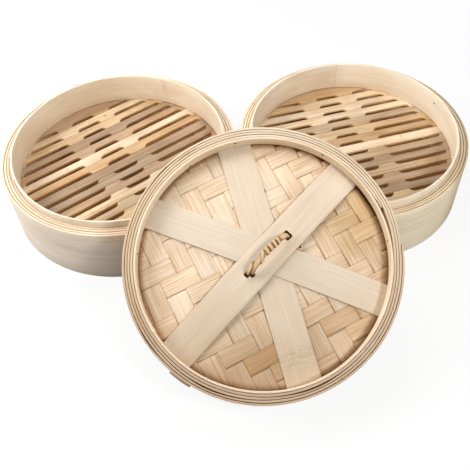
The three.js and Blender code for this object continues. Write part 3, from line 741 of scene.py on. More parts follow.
# A wound strip: its inner radius, thickness, gap between turns, turns, the direction in which its outer end
# lies, and the outer radius of the ring inside it
Winding = namedtuple("Winding", "start strip gap turns end inside")
TIGHT = 0.04                           # how far a strip's belly presses into the next turn
OUTER_TAPER, INNER_TAPER = 12, 16      # over how much of its length each end of a strip is shaved thin
OUTER_SHAVED, INNER_SHAVED = 0.5, 0.6  # the share of its thickness that is shaved off there
SPRING = 9                             # over how much of its length the outer end stands off
OUT_OF_ROUND, EDGE_WAVE = 0.15, 0.3    # how uneven a wound strip's outline and its upper edge are
SEAM, SEAM_STEP = 0.00022, 0.35        # half of a ring's open seam, as a share of a turn, and the step at it
SEAM_FADES = 60                        # how fast the step at the seam fades, for each turn


def wall_winding(sizes, side):
    return Winding(sizes.wall_start, sizes.wall_strip, sizes.wall_gap, sizes.wall_turns,
                   BASKETS[side]["strip_end"], sizes.hoop_radius)


def skirt_winding(sizes):
    return Winding(sizes.lid_start, sizes.lid_strip, sizes.lid_gap, sizes.lid_turns, LID_STRIP_END,
                   sizes.lid_ring_radius + sizes.hoop_thickness)


def outer_radius(wound, turns):
    """Outer radius after some turns from the inside. The strip climbs onto its own start in a short stretch"""
    whole = np.floor(turns)
    layers = whole + smooth((turns - whole - 1 + CLIMB) / CLIMB)
    return wound.start + wound.strip + (wound.strip + wound.gap) * layers


def outermost_radius(wound, at):
    """Outer radius of a wound strip in a direction"""
    return outer_radius(wound, wound.turns - ((wound.end - at) % 360) / 360)


def wound_shape(name, wound, height, loose=(), off_end=0.0, end_shade=1.0, rim_tone=1.0):
    """A strip wound tightly, from its outer end inwards, which may stand off. loose holds places where two
    turns stand apart: the direction and its spread in degrees, the turn counted from outside, and how far"""
    strip, turns = wound.strip, wound.turns
    stations = np.arange(round(turns * STEPS_PER_TURN) + 1)
    turn = stations / STEPS_PER_TURN
    from_end, from_start = turn * TAU * wound.start, (turns - turn) * TAU * wound.start
    angles = np.radians(wound.end) - TAU * turn

    def wave(part, counts, pace, drift):
        """How uneven a part of the strip is along it, with no two turns alike"""
        return ripple(f"{name} {part}", counts)(angles * pace + drift * turn)

    outer = outer_radius(wound, turns - turn) + OUT_OF_ROUND * ripple(f"{name} round", (3, 5, 8))(angles)
    thick = strip + 0.1 + 0.2 * wave("gap", (1, 2, 3, 5), 0.31, 1)
    for direction, spread, layer, amount in loose:
        off = (angles - np.radians(direction) + math.pi) % TAU - math.pi
        bump = np.exp(-(off / np.radians(spread)) ** 2)
        thick = thick - amount * bump * (np.abs(turn - layer) < 0.5)
    shaved = OUTER_SHAVED * strip * (1 - smooth(from_end / OUTER_TAPER))
    outer, thick = outer - shaved, thick - shaved
    outer = outer + off_end * np.exp(-from_end / SPRING)
    thick = thick - INNER_SHAVED * strip * (1 - smooth(from_start / INNER_TAPER))
    top = height + EDGE_WAVE * wave("edge", (1, 2, 5, 9), 0.77, 2.1) - EDGE_WAVE / 2
    foot = EDGE_WAVE / 2 * (1 + wave("foot", (1, 3, 7), 0.77, 1.3))
    # Halfway up, each turn lies tight on the next one, and the last on the ring inside it
    room = np.where(turn <= turns - 1, strip + wound.gap, strip + wound.start - wound.inside)
    rounding = 0.36
    shape = bent_strip(angles, outer, thick, foot, top, rounding, seed_of(name), belly=room - thick + TIGHT)
    lines = len(shape.points) // len(stations)
    half = lines // 2
    outside, rim, inside = slice(half - 2), slice(half - 2, half + 2), slice(half + 2, None)
    # Painted shade on the faces that the next turn covers; the upper edge takes the rim tone and the outer end
    # the end tone, both the bamboo's own
    shade = np.ones((len(stations), lines, 3))
    shade[turn >= 1, outside] = GAP_PAINTED_SHADE
    shade[turn < turns - 1, inside] = GAP_PAINTED_SHADE
    shade[:, rim] = rim_tone
    shade = shade * fading(1 - grown(from_end, start=3, over=6), end_shade)[:, None]
    return shape._replace(shade=shade.reshape(-1, 3))


def bent_ring_shape(name, radius, thick, seam, low, high, node=None):
    """A strip bent into a ring, its ends meeting at a seam with a small step on the inside"""
    stations = np.linspace(SEAM, 1 - SEAM, STEPS_PER_TURN + 1)
    angles = np.radians(seam) - TAU * stations
    step = np.exp(-stations * SEAM_FADES) * SEAM_STEP

    def wave(part, size, counts=(2, 3, 5, 7, 11)):
        return size * ripple(f"{name} {part}", counts)(angles)

    outer = radius - 0.05 + wave("round", 0.08)
    uneven = step + wave("inside", 0.06)
    top, foot = high + wave("edge", 0.22, (1, 2, 5, 9)), low + wave("foot", 0.1, (1, 3, 7))
    node_at = NO_NODE if node is None else TAU * radius * ((seam - node) % 360) / 360
    return bent_strip(angles, outer, thick + uneven, foot, top, rounding=0.75, seed=seed_of(name),
                      node_at=node_at)


# ---------------------------------------------------------------- baskets

class STEAMER_OT_wound_walls(bpy.types.Operator):
    """Winds the wall of each basket from one long strip"""
    bl_idname = "steamer.wound_walls"
    bl_label = "Wound Walls"

    def execute(self, context):
        sizes, tones = values(context)
        for side, plan in BASKETS.items():
            shape = wound_shape(f"{side} wall", wall_winding(sizes, side), sizes.wall_height,
                                off_end=plan["off_end"], end_shade=plan["end_shade"], rim_tone=RIM_TONE)
            # Painted shade on the right wall's outer face as it curves away towards +X; the left wall takes
            # none
            x, y = shape.points[:, 0], shape.points[:, 1]
            outside = np.hypot(x, y) > 124
            shape = darkened(shape, grown(x, start=82, over=22) * outside, plan["flank_painted_shade"])
            add_piece(f"{side}_wall_strip", [shape], f"{side}_basket", [f"{side}_wound_wall"], "wound_bamboo",
                      getattr(tones, f"{side}_wall"))
        return {"FINISHED"}


class STEAMER_OT_bent_hoops(bpy.types.Operator):
    """Bends the hoop and the lower ring of each basket"""
    bl_idname = "steamer.bent_hoops"
    bl_label = "Bent Hoops"

    def execute(self, context):
        sizes, tones = values(context)
        for side, plan in BASKETS.items():
            seam = plan["hoop_seam"]
            # The foot ring takes painted shade, as it lies below the floor
            for part, node, low, high, at, joint, shade in (
                    ("hoop", "upper_hoop", sizes.hoop_low, sizes.hoop_top, seam, plan["hoop_node"], 1.0),
                    ("foot_ring", "lower_ring", sizes.ring_low, sizes.ring_top, seam + 140, None, BELOW_PAINTED_SHADE)):
                name = f"{side}_{part}"
                shape = bent_ring_shape(name, sizes.hoop_radius, sizes.hoop_thickness, at, low, high, joint)
                add_piece(f"{side}_bent_{part}", [shape], f"{side}_basket", [f"{side}_{node}"], "hoop_bamboo",
                          varied(np.array(tones.hoop) * shade, name, 0.02))
        return {"FINISHED"}


HOOP_TO_SLOT = 4       # what is left free between the hoop and the end of a slot
SHORTEST_SLOT = 2.5    # the shortest slot that is cut, in roundings of a slot's end


def half_chord(radius, offset):
    return math.sqrt(max(0.0, radius ** 2 - offset ** 2))


def slot_runs(sizes, edge, shift):
    """Where the three slots of an edge begin and end along it, without those that would be too short"""
    reach = half_chord(sizes.hoop_radius - sizes.hoop_thickness, edge) - HOOP_TO_SLOT
    half = sizes.short_slot / 2
    long_start = half + sizes.bridge
    runs = [(-reach, shift - long_start), (shift - half, shift + half), (shift + long_start, reach)]
    return [(start, end) for start, end in runs if end - start > SHORTEST_SLOT * sizes.slot_round]


def edge_line(sizes, edge, end, runs, into, draw):
    """A slat's edge from left to right, with slots cut into it"""
    points = [(-end, edge)]
    corner = [np.radians(turn) for turn in range(0, 91, 15)]
    for first, last in runs:
        first, last = first + draw.uniform(-1, 1), last + draw.uniform(-1, 1)
        deep = sizes.slot_width + draw.uniform(-0.25, 0.15)
        for at, inwards, turns in ((first, 1, corner), (last, -1, corner[::-1])):
            points += [(at + inwards * sizes.slot_round * (1 - math.cos(turn)),
                        edge + into * deep * math.sin(turn)) for turn in turns]
    return points + [(end, edge)]


def arc(radius, first, last):
    count = max(1, math.ceil(abs(last - first) * STEPS_PER_TURN / TAU))
    return [(radius * math.cos(first + (last - first) * step / count),
             radius * math.sin(first + (last - first) * step / count)) for step in range(count + 1)]


def disc_band(sizes, radius, low, high, low_runs=(), high_runs=(), draw=None):
    """Outline of the part of a disc between two lines across it"""
    low_turn = math.asin(low / radius) if low > -radius else -math.pi / 2
    high_turn = math.asin(high / radius) if high < radius else math.pi / 2
    points = []
    if low > -radius:
        points += edge_line(sizes, low, half_chord(radius, low), low_runs, 1, draw)
    points += arc(radius, low_turn, high_turn)[1:]
    if high < radius:
        points += edge_line(sizes, high, half_chord(radius, high), high_runs, -1, draw)[::-1][1:]
    return points + arc(radius, math.pi - high_turn, math.pi - low_turn)[1:-1]


def sawn_and_painted_sides(shape):
    """A slat whose sides, all but its upper edge, show the warmer inner bamboo and are painted lighter,
    standing in for light on them
    """
    shade = np.ones((PRISM_LEVELS, len(shape.points) // PRISM_LEVELS, 3))
    shade[1:4] = SAWN_TONE_AND_PAINTED_LIGHT
    return shape._replace(shade=shade.reshape(-1, 3))


def slat_lines(sizes, place):
    """The two lines between which slat number place lies, counted from the centre slat"""
    half = sizes.centre_slat / 2
    if place == 0:
        return sizes.slat_shift - half, sizes.slat_shift + half
    sign = 1 if place > 0 else -1
    near = sizes.slat_shift + sign * (half + (abs(place) - 1) * sizes.slat_pitch)
    outermost = abs(place) == SLATS_BESIDE
    far = sign * 2 * sizes.floor_radius if outermost else near + sign * sizes.slat_pitch
    return (near, far) if place > 0 else (far, near)


def floor_bar_places(sizes, shift):
    reach = (sizes.short_slot + sizes.bridge) / 2
    return [shift - reach, shift + reach]


class STEAMER_OT_slat_floors(bpy.types.Operator):
    """Lays the slatted floor of each basket on its two bars"""
    bl_idname = "steamer.slat_floors"
    bl_label = "Slat Floors"

    def execute(self, context):
        sizes, tones = values(context)
        trim = sizes.slat_joint / 2
        for side, plan in BASKETS.items():
            body, shift = f"{side}_basket", plan["slot_shift"]
            for number, tone in enumerate(plan["tones"].split(), 1):
                name = f"{side} slat {number}"
                draw = random.Random(name)
                place = SLATS_BESIDE + 1 - number
                low, high = slat_lines(sizes, place)
                low_runs = slot_runs(sizes, low + trim, shift) if place > 0 else ()
                high_runs = slot_runs(sizes, high - trim, shift) if place < 0 else ()
                outline = disc_band(sizes, sizes.floor_radius, low + trim, high - trim, low_runs, high_runs,
                                    draw)
                lift = draw.uniform(-0.25, 0.1)
                shape = prism(outline, sizes.floor_top - sizes.slat_thickness + 0.05,
                              sizes.floor_top + lift, rounding=0.32, seed=seed_of(name))
                # Each slat is split from another stretch of the cane
                shape.grain[:, 0] += draw.uniform(-150, 150)
                add_piece(f"{side}_floor_slat_{number:02d}", [turned(sawn_and_painted_sides(shape), plan["slat_turn"])],
                          body, [f"{side}_slat_{number:02d}"], "slat_bamboo",
                          varied(getattr(tones, tone), name, 0.04))
            for number, middle in enumerate(floor_bar_places(sizes, shift), 1):
                name = f"{side} floor bar {number}"
                half = sizes.bar_width / 2
                outline = disc_band(sizes, sizes.floor_radius - 0.2, middle - half, middle + half)
                shape = prism(outline, sizes.bar_low, sizes.ring_top, rounding=0.5, seed=seed_of(name))
                # The bars take painted shade, as they lie below the slats
                add_piece(f"{side}_floor_bar_{number}", [turned(shape, plan["slat_turn"] - 90)], body,
                          [f"{side}_crossbar_{number}"], "slat_bamboo",
                          varied(np.array(tones.tan) * BELOW_PAINTED_SHADE, name, 0.04))
        return {"FINISHED"}


PEG_PROUD = 0.45   # how far a peg's outer end stands out of its wall


def radial_peg(name, at, height, inner, outer, radius):
    way = np.array([math.cos(np.radians(at)), math.sin(np.radians(at)), 0])
    up = np.array([0, 0, height])
    return rod(way * inner + up, way * outer + up, radius, seed_of(name))


class STEAMER_OT_basket_pegs(bpy.types.Operator):
    """Drives the pegs through the walls, and the nail through a slat"""
    bl_idname = "steamer.basket_pegs"
    bl_label = "Basket Pegs"

    def execute(self, context):
        sizes, tones = values(context)
        inner = sizes.hoop_radius - sizes.hoop_thickness - 0.35
        for side, plan in BASKETS.items():
            for peg, at, height in plan["pegs"]:
                name, high = f"{side}_{peg}", peg == "hoop_peg"
                outer = outermost_radius(wall_winding(sizes, side), at)
                proud, share, tone = (PEG_PROUD, 1, tones.peg) if high else (0.1, 0.6, tones.pale_peg)
                shape = radial_peg(name, at, height, inner, outer + proud, sizes.peg_radius * share)
                add_piece(f"{side}_driven_{peg}", [shape], f"{side}_basket", [name], "peg_bamboo", tone)
        plan = BASKETS["left"]
        along, across = floor_bar_places(sizes, plan["slot_shift"])[1], sum(slat_lines(sizes, 6)) / 2
        nail = rod((along, across, sizes.bar_low), (along, across, sizes.floor_top + 0.35), radius=1.1, seed=3)
        add_piece("left_driven_nail", [turned(nail, plan["slat_turn"])], "left_basket", ["left_slat_nail"],
                  "peg_bamboo", tones.peg)
        return {"FINISHED"}


# ---------------------------------------------------------------- lid

def painted_front_shade(shape, back, over, shade):
    """Painted shade on a part of the lid, growing from a line across the lid towards its front"""
    return darkened(shape, grown(-shape.points[:, 1], -back, over), shade)


def dome(rise, reach, distance):
    return rise * (1 - np.minimum(1, np.abs(distance) / reach) ** 2)


def weave_edge_top(sizes):
    return sizes.lid_height - sizes.weave_depth


class STEAMER_OT_lid_skirt(bpy.types.Operator):
    """Winds the lid's skirt and bends its two rings"""
    bl_idname = "steamer.lid_skirt"
    bl_label = "Lid Skirt"

    def execute(self, context):
        sizes, tones = values(context)
        wound = skirt_winding(sizes)
        skirt = wound_shape("lid skirt", wound, sizes.lid_height, LOOSE_TURNS)
        angles = np.radians(np.linspace(TAB_FROM, TAB_TO, 13))
        tab_radius = outermost_radius(wound, (TAB_FROM + TAB_TO) / 2) + TAB_OFF
        tab = bent_strip(angles, *(np.full(len(angles), size) for size in (tab_radius, *TAB_SIZE)),
                         rounding=0.5, seed=31)
        parts = []
        for part in (skirt, tab):
            x, y = part.points[:, 0], part.points[:, 1]
            # Painted shade towards the lid's front; the skirt is also darker at the lid's left
            part = painted_front_shade(part, back=60, over=180, shade=FRONT_SKIRT_PAINTED_SHADE)
            left = grown(-x, start=60, over=45) * grown(y, start=-85, over=50)
            parts.append(darkened(part, left, LEFT_SKIRT_SHADE))
        add_piece("lid_skirt_strip", parts, "lid", ["lid_wound_skirt"], "wound_bamboo", tones.skirt)
        for part, node, seam, low, high in (
                ("rim_ring", "lid_upper_ring", -150, weave_edge_top(sizes) + 1.9, sizes.lid_height),
                ("foot_ring", "lid_lower_ring", 40, LID_RECESS, 28.2)):
            shape = bent_ring_shape(f"lid {part}", wound.inside, sizes.hoop_thickness, seam, low, high)
            add_piece(f"lid_{part}", [shape], "lid", [node], "hoop_bamboo", varied(tones.ring, part, 0.02))
        return {"FINISHED"}


# A weave: its height at the edge, the thickness and lift of its splints, the edges and the first number of
# those laid across and down, and over what length a splint bends from one crossing to the next
Weave = namedtuple("Weave", "height splint lift across first_across down_low down_high first_down bend")
SPLINT_GAP = 0.07                   # what a splint leaves free at each of its edges
SPLINT_STEP, NARROWEST = 1.5, 1.5   # from one section of a splint to the next, and the least width it keeps
WEAVE_TUCK, STRAP_TUCK = 1.8, 2.3   # how far the splints and the straps reach in behind the ring
WEAVE_DROP, LINING_DROP = 1.3, 3.1  # how deep the weave and the lining lie below the top of the weave's edge
STRAP_RAISED = 0.3                  # how high the first strap lies above the top of the weave's edge
# how wide the painted shadow of the ring on the weave is
RIM_SHADOW_WIDTH = 6.5                     # how wide the dark band along the ring is
HOLE_REACH = 6                      # how far the dark inside of a hole reaches from its middle


def over(row, column):
    """Whether a splint laid across passes over one laid down: two over, two under, one further each row"""
    return 1 if (row + column) % 4 in (1, 2) else -1


def woven_height(lift, tops, edges, along, bend):
    """Height along a splint: over or under at each crossing, with an easy bend from one to the next"""
    height = np.full(len(along), float(tops[0]))
    for edge, before, after in zip(edges[1:-1], tops[:-1], tops[1:]):
        height = height + (after - before) * smooth((along - edge) / bend + 0.5)
    return lift * height


def splint_stations(limit, low, high):
    """Where a splint between two lines has its sections, none if it lies outside the round of the lid"""
    nearest = 0 if low < 0 < high else min(abs(low), abs(high))
    end = half_chord(limit, nearest) - 0.3
    return np.arange(-end, end, SPLINT_STEP) if nearest <= limit - 2 else []


def weave_shapes(sizes, weave, name):
    """The splints of a twill, and for each the direction and number that it has"""
    shapes, labels = [], []
    limit = sizes.lid_ring_radius + WEAVE_TUCK
    rows = range(weave.first_across, weave.first_across + len(weave.across) - 1)
    columns = range(weave.first_down, weave.first_down + len(weave.down_low) - 1)

    def down_edge(index, y):
        share = (y - FAN_LOW) / (FAN_HIGH - FAN_LOW)
        return weave.down_low[index] + (weave.down_high[index] - weave.down_low[index]) * share

    def add_splint(along, low, high, tops, edges, kind, number):
        woven = woven_height(weave.lift, tops, edges, along, weave.bend)
        shapes.append(splint_shape(sizes, weave, along, low, high, woven, kind == "down",
                                   seed_of(f"{name} {kind} {number}")))
        labels.append((kind, number))

    for index, row in enumerate(rows):
        low, high = weave.across[index] + SPLINT_GAP, weave.across[index + 1] - SPLINT_GAP
        along = splint_stations(limit, low, high)
        if len(along):
            edges = [down_edge(i, (low + high) / 2) for i in range(len(weave.down_low))]
            tops = [over(row, column) for column in columns]
            add_splint(along, low, high, tops, edges, "across", row)
    for index, column in enumerate(columns):
        along = splint_stations(limit, down_edge(index, 0), down_edge(index + 1, 0))
        if len(along):
            low, high = down_edge(index, along) + SPLINT_GAP, down_edge(index + 1, along) - SPLINT_GAP
            tops = [-over(row, column) for row in rows]
            add_splint(along, low, high, tops, weave.across, "down", column)
    return shapes, labels


def splint_shape(sizes, weave, along, low, high, woven, down, seed):
    """One splint, trimmed to the round of the lid"""
    limit = sizes.lid_ring_radius + WEAVE_TUCK
    low, high = np.broadcast_to(low, len(along)), np.broadcast_to(high, len(along))
    room = np.sqrt(np.maximum(0, limit ** 2 - along ** 2))
    first, last = np.maximum(low, -room), np.minimum(high, room)
    keep = last - first > NARROWEST
    along, woven, first, last = along[keep], woven[keep], first[keep], last[keep]
    edge, rounding, crowned = 0.03, 0.28, 0.16
    place, draw_in = lines_across(1, edge, 3)
    draw_in = draw_in / edge * rounding
    across = first[:, None] + (last - first)[:, None] * (place + 0.5)
    flow = np.repeat(along[:, None], len(place), axis=1)
    x, y = (across, flow) if down else (flow, across)
    level = weave.height + dome(sizes.weave_rise, sizes.lid_ring_radius, np.hypot(x, y)) + woven[:, None]
    upper = np.stack([x, y, level + weave.splint / 2 - draw_in + crowned * (1 - (2 * place) ** 2)], axis=-1)
    lower = np.stack([x, y, level - weave.splint / 2 + draw_in], axis=-1)
    shade = splint_shade(x, y, woven, limit - WEAVE_TUCK)
    shade = np.concatenate([shade, shade[:, ::-1]], axis=1)
    return slab(upper, lower, flow, across, seed)._replace(shade=shade.reshape(-1, 3))


def splint_shade(x, y, woven, ring_radius):
    """Painted shadow where a splint dives, weaker where it comes up again, and a painted highlight where it
    rises; painted shadow along the ring; darker and more golden towards the right, and painted shade towards
    the front
    """
    high = max(woven.max(), 0.01)
    rising = np.gradient(woven) > 0
    dive_shadow = (1 - smooth(woven / (0.36 * high))) * (1 - 0.65 * rising)
    highlight_share = rising * smooth(woven / high * 2) * (1 - smooth(woven / high * 4 - 3))
    rim = 1 - smooth((ring_radius - np.hypot(x, y)) / RIM_SHADOW_WIDTH)
    # The painted front shade is weaker where it meets the darker right, and the right's darkening fades towards
    # the front
    right = (grown(x, start=25, over=70) * grown(-y, start=-70, over=70)
             * (1 - 0.8 * grown(-y, start=15, over=40)))
    front = grown(-y, start=15, over=65) * (1 - 0.45 * grown(x, start=-10, over=50))
    shade = fading(dive_shadow[:, None], DIVE_PAINTED_SHADOW) * fading(rim, RIM_PAINTED_SHADOW) * fading(highlight_share[:, None], PAINTED_HIGHLIGHT)
    return shade * fading(right, RIGHT_WEAVE_SHADE) * fading(front, FRONT_WEAVE_PAINTED_SHADE)


def splint_tint(tones, kind, number):
    """Pale splints laid down, more golden ones across, and a brown one among them"""
    if kind == "down":
        return varied(mixed(tones.splint, tones.gold, 0.28), f"down {number}", 0.05)
    base = mixed(tones.splint, tones.gold, 0.34)
    return varied(mixed(base, tones.brown, BROWNED.get(number, 0)), f"across {number}", 0.05)


class STEAMER_OT_lid_weave(bpy.types.Operator):
    """Weaves the lid's panel and the lining below it"""
    bl_idname = "steamer.lid_weave"
    bl_label = "Lid Weave"

    def execute(self, context):
        sizes, tones = values(context)
        panel = Weave(weave_edge_top(sizes) - WEAVE_DROP, sizes.splint, sizes.splint_lift,
                      across=ACROSS_EDGES, first_across=FIRST_ACROSS, down_low=DOWN_EDGES_LOW,
                      down_high=DOWN_EDGES_HIGH, first_down=FIRST_DOWN, bend=9.5)
        shapes, labels = weave_shapes(sizes, panel, "weave")
        add_piece("lid_weave", [near_holes(turned(shape, WEAVE_TURN)) for shape in shapes], "lid",
                  ["lid_woven_panel"], "woven_bamboo", [splint_tint(tones, *label) for label in labels])

        edges = list(np.linspace(-122, 122, 21))
        lining = Weave(weave_edge_top(sizes) - LINING_DROP, splint=0.45, lift=0.15, across=edges,
                       first_across=0, down_low=edges, down_high=edges, first_down=0, bend=5.0)
        shapes, labels = weave_shapes(sizes, lining, "lining")
        add_piece("lid_lining_weave", [turned(shape, LINING_TURN) for shape in shapes], "lid",
                  ["lid_lining"], "woven_bamboo",
                  [varied(tones.splint, f"lining {label}", 0.07) for label in labels])
        return {"FINISHED"}


def strap_top(sizes, layer, along):
    """Height of a strap's upper face. Each strap passes over those before it"""
    _, _, offset, width, _ = STRAPS[layer]
    reach = half_chord(sizes.lid_ring_radius, abs(offset) + width / 2)
    rise = sizes.weave_rise + layer * (sizes.strap + sizes.strap_gap)
    return weave_edge_top(sizes) + STRAP_RAISED + sizes.strap + dome(rise, reach, along)


def strap_shape(sizes, layer):
    """A strap along X, its ends trimmed to the round of the lid"""
    name, _, offset, width, node = STRAPS[layer]
    rounding, wavy, cupped = 0.45, 0.3, 0.3
    place, draw_in = lines_across(width, rounding, 7)
    room = np.sqrt((sizes.lid_ring_radius + STRAP_TUCK) ** 2 - (place + offset) ** 2)
    share = np.linspace(-1, 1, 61)
    along = share[:, None] * room
    uneven = ripple(f"{name} edge", (1, 2, 3, 5))(share * 2.2)[:, None]
    across = np.repeat((place + offset)[None], len(share), axis=0) + wavy * uneven * np.sign(place)
    cup = cupped * (1 - (2 * place / width) ** 2) * (1 - share[:, None] ** 6)
    level = strap_top(sizes, layer, along) + cup
    upper = np.stack([along, across, level - draw_in * 0.95], axis=-1)
    lower = np.stack([along, across, level - sizes.strap + draw_in * 0.35 - cup * 0.6], axis=-1)
    return slab(upper, lower, along - node, across - offset, seed_of(name))


def from_holes(along, across):
    """How far points in the uppermost strap's frame lie from the nearest of the handle's holes"""
    return np.min([np.hypot(along - at, across - TOP_OFFSET - beside) for at, beside, _, _ in HANDLE_HOLES],
                  axis=0)


def near_holes(shape):
    """A part of the lid with painted shade where it lies below the handle's holes"""
    way = np.array([math.cos(np.radians(TOP_TURN)), math.sin(np.radians(TOP_TURN))])
    side = np.array([-way[1], way[0]])
    flat = shape.points[:, :2]
    return darkened(shape, 1 - grown(from_holes(flat @ way, flat @ side), start=4, over=4), HOLE_PAINTED_SHADE)


def hole_cutter(sizes, along, beside, long, wide):
    """A hole through the uppermost strap, with rounded corners"""
    level = strap_top(sizes, TOP_STRAP, along)
    corner, deep = 1.3, 6
    points = []
    for number, (sx, sy) in enumerate(((1, 1), (-1, 1), (-1, -1), (1, -1))):
        for step in range(4):
            turn = (number + step / 3) * math.pi / 2
            points.append((along + sx * (long / 2 - corner) + corner * math.cos(turn),
                           TOP_OFFSET + beside + sy * (wide / 2 - corner) + corner * math.sin(turn)))
    return prism(points, level - deep, level + deep, rounding=0.01)


def holed_strap(sizes, shape):
    """The uppermost strap with the handle's holes, with painted shade inside them"""
    name, _, _, _, node = STRAPS[TOP_STRAP]
    seed = seed_of(name)

    def grain_of(points):
        return np.column_stack([points[:, 0] - node, points[:, 1] - TOP_OFFSET, np.full(len(points), seed)])

    shape = with_holes(shape, [hole_cutter(sizes, *hole) for hole in HANDLE_HOLES], grain_of)
    along, across, height = shape.points.T
    low = strap_top(sizes, TOP_STRAP, along) - height > sizes.strap * 0.6
    return darkened(shape, (low & (from_holes(along, across) < HOLE_REACH)).astype(float), HOLE_PAINTED_SHADE)


class STEAMER_OT_lid_straps(bpy.types.Operator):
    """Lays the three wide straps over the weave"""
    bl_idname = "steamer.lid_straps"
    bl_label = "Lid Straps"

    def execute(self, context):
        sizes, tones = values(context)
        for layer, (name, turn, _, _, _) in enumerate(STRAPS):
            shape = strap_shape(sizes, layer)
            if layer == TOP_STRAP:
                shape = turned(holed_strap(sizes, shape), turn)
            else:
                shape = near_holes(turned(shape, turn))
            # Painted shade towards the lid's front
            shape = painted_front_shade(shape, back=10, over=120, shade=FRONT_STRAP_PAINTED_SHADE)
            add_piece(name.replace("lid_strap", "lid_wide_strap"), [shape], "lid", [name], "strap_bamboo",
                      varied(tones.strap, name, 0.02))
        return {"FINISHED"}


# ---------------------------------------------------------------- handle

# Where the loop below the strap begins, and where the arch's two legs stand
(LOOP_AT, LOOP_SIDE, _, _), (LEG_AT, LEG_SIDE, _, _), (SINGLE_AT, _, _, _) = HANDLE_HOLES
HALF_SPAN = (SINGLE_AT - LEG_AT) / 2
ARCH_LINE = TOP_OFFSET + LEG_SIDE + 0.2
FOOT_HEIGHT = 2    # how high above the strap the arch begins to bend
ARCH_RISE = HANDLE_HEIGHT - FOOT_HEIGHT


def arch_foot(sizes):
    return strap_top(sizes, TOP_STRAP, HANDLE_SHIFT) + FOOT_HEIGHT


def arch_at(sizes, turn):
    """Points of the arch, from the single hole (0) to the other end (half a turn)"""
    sideways = HANDLE_LEAN * np.sin(turn) - HANDLE_SKEW * np.cos(turn / 2) ** 4
    height = ARCH_RISE * np.sin(turn) ** 0.85
    return np.stack([(SINGLE_AT + LEG_AT) / 2 + HALF_SPAN * np.cos(turn), ARCH_LINE + sideways,
                     arch_foot(sizes) + height], -1)


def arch_lines(sizes):
    """The line of the arch from the single hole, the way that its face looks, and the share of the arch that
    lies behind each point"""
    turn = np.linspace(0, math.pi, 61)
    arch = arch_at(sizes, turn)
    looks = np.stack([ARCH_RISE * np.cos(turn), 0 * turn, HALF_SPAN * np.sin(turn)], -1)
    down = np.linspace(0, 1, 9)[1:, None]
    low = arch_foot(sizes) - LEG_DEPTH
    leg, other_leg = (top + (np.array([*foot, low]) - top) * down
                      for top, foot in ((arch[0], (SINGLE_AT, arch[0, 1])), (arch[-1], (LEG_AT, ARCH_LINE))))
    sides = np.tile([1.0, 0, 0], (len(down), 1))
    return (np.concatenate([leg[::-1], arch, other_leg]), np.concatenate([sides, looks, -sides]),
            np.concatenate([np.zeros(len(down)), np.linspace(0, 1, len(arch)), np.ones(len(down))]))


def wound_lines(sizes):
    """The line of the strand that goes round below the strap, comes up beside the arch and is wound round it,
    and the way that its face looks"""
    below, sag, drawn_aside = 0.9, 0.8, 1.6
    under = strap_top(sizes, TOP_STRAP, LOOP_AT) - sizes.strap - below
    bend = np.linspace(0, math.pi, 9)
    loop = np.stack([(LEG_AT + LOOP_AT) / 2 + (LEG_AT - LOOP_AT) / 2 * np.cos(bend),
                     np.linspace(ARCH_LINE, TOP_OFFSET + LOOP_SIDE, len(bend)),
                     under - sag * np.sin(bend)], -1)
    loop_face = np.stack([np.cos(bend), 0 * bend, -np.sin(bend)], -1)
    share = np.linspace(WOUND_FROM, WOUND_TO, 161)
    centre = arch_at(sizes, math.pi * (1 - share))
    outward = np.cross(unit(np.gradient(centre, axis=0)), [0.0, 1.0, 0.0])
    outward *= np.sign(outward[len(share) // 2, 2])
    wind = TAU * (0.1 + smooth((share - WOUND_LIE) / (WOUND_TIGHT - WOUND_LIE))
                  + WOUND_TURNS * np.clip((share - WOUND_TIGHT + 0.03) / (WOUND_TO - WOUND_TIGHT), 0, 1))
    # Wound on an oval that is wider sideways, as the cane of the arch is flat
    out, aside = 1.45, sizes.cane_width / 2 + 0.55
    strand = centre + outward * (out * np.cos(wind))[:, None]
    strand[:, 1] += aside * np.sin(wind)
    face = outward * (np.cos(wind) / out)[:, None]
    face[:, 1] += np.sin(wind) / aside
    strand[:, 0] -= drawn_aside * (1 - grown(share, start=WOUND_FROM, over=0.2))
    link = np.linspace(loop[-1], strand[0], 7)[1:-1]
    link_face = np.tile([-1.0, 0, 0.05], (len(link), 1))
    return np.concatenate([loop, link, strand]), np.concatenate([loop_face, link_face, face])


def eased(line):
    """A line with its corners worn off"""
    line = np.array(line, float)
    for _ in range(2):
        line[1:-1] = (line[:-2] + 2 * line[1:-1] + line[2:]) / 4
    return line


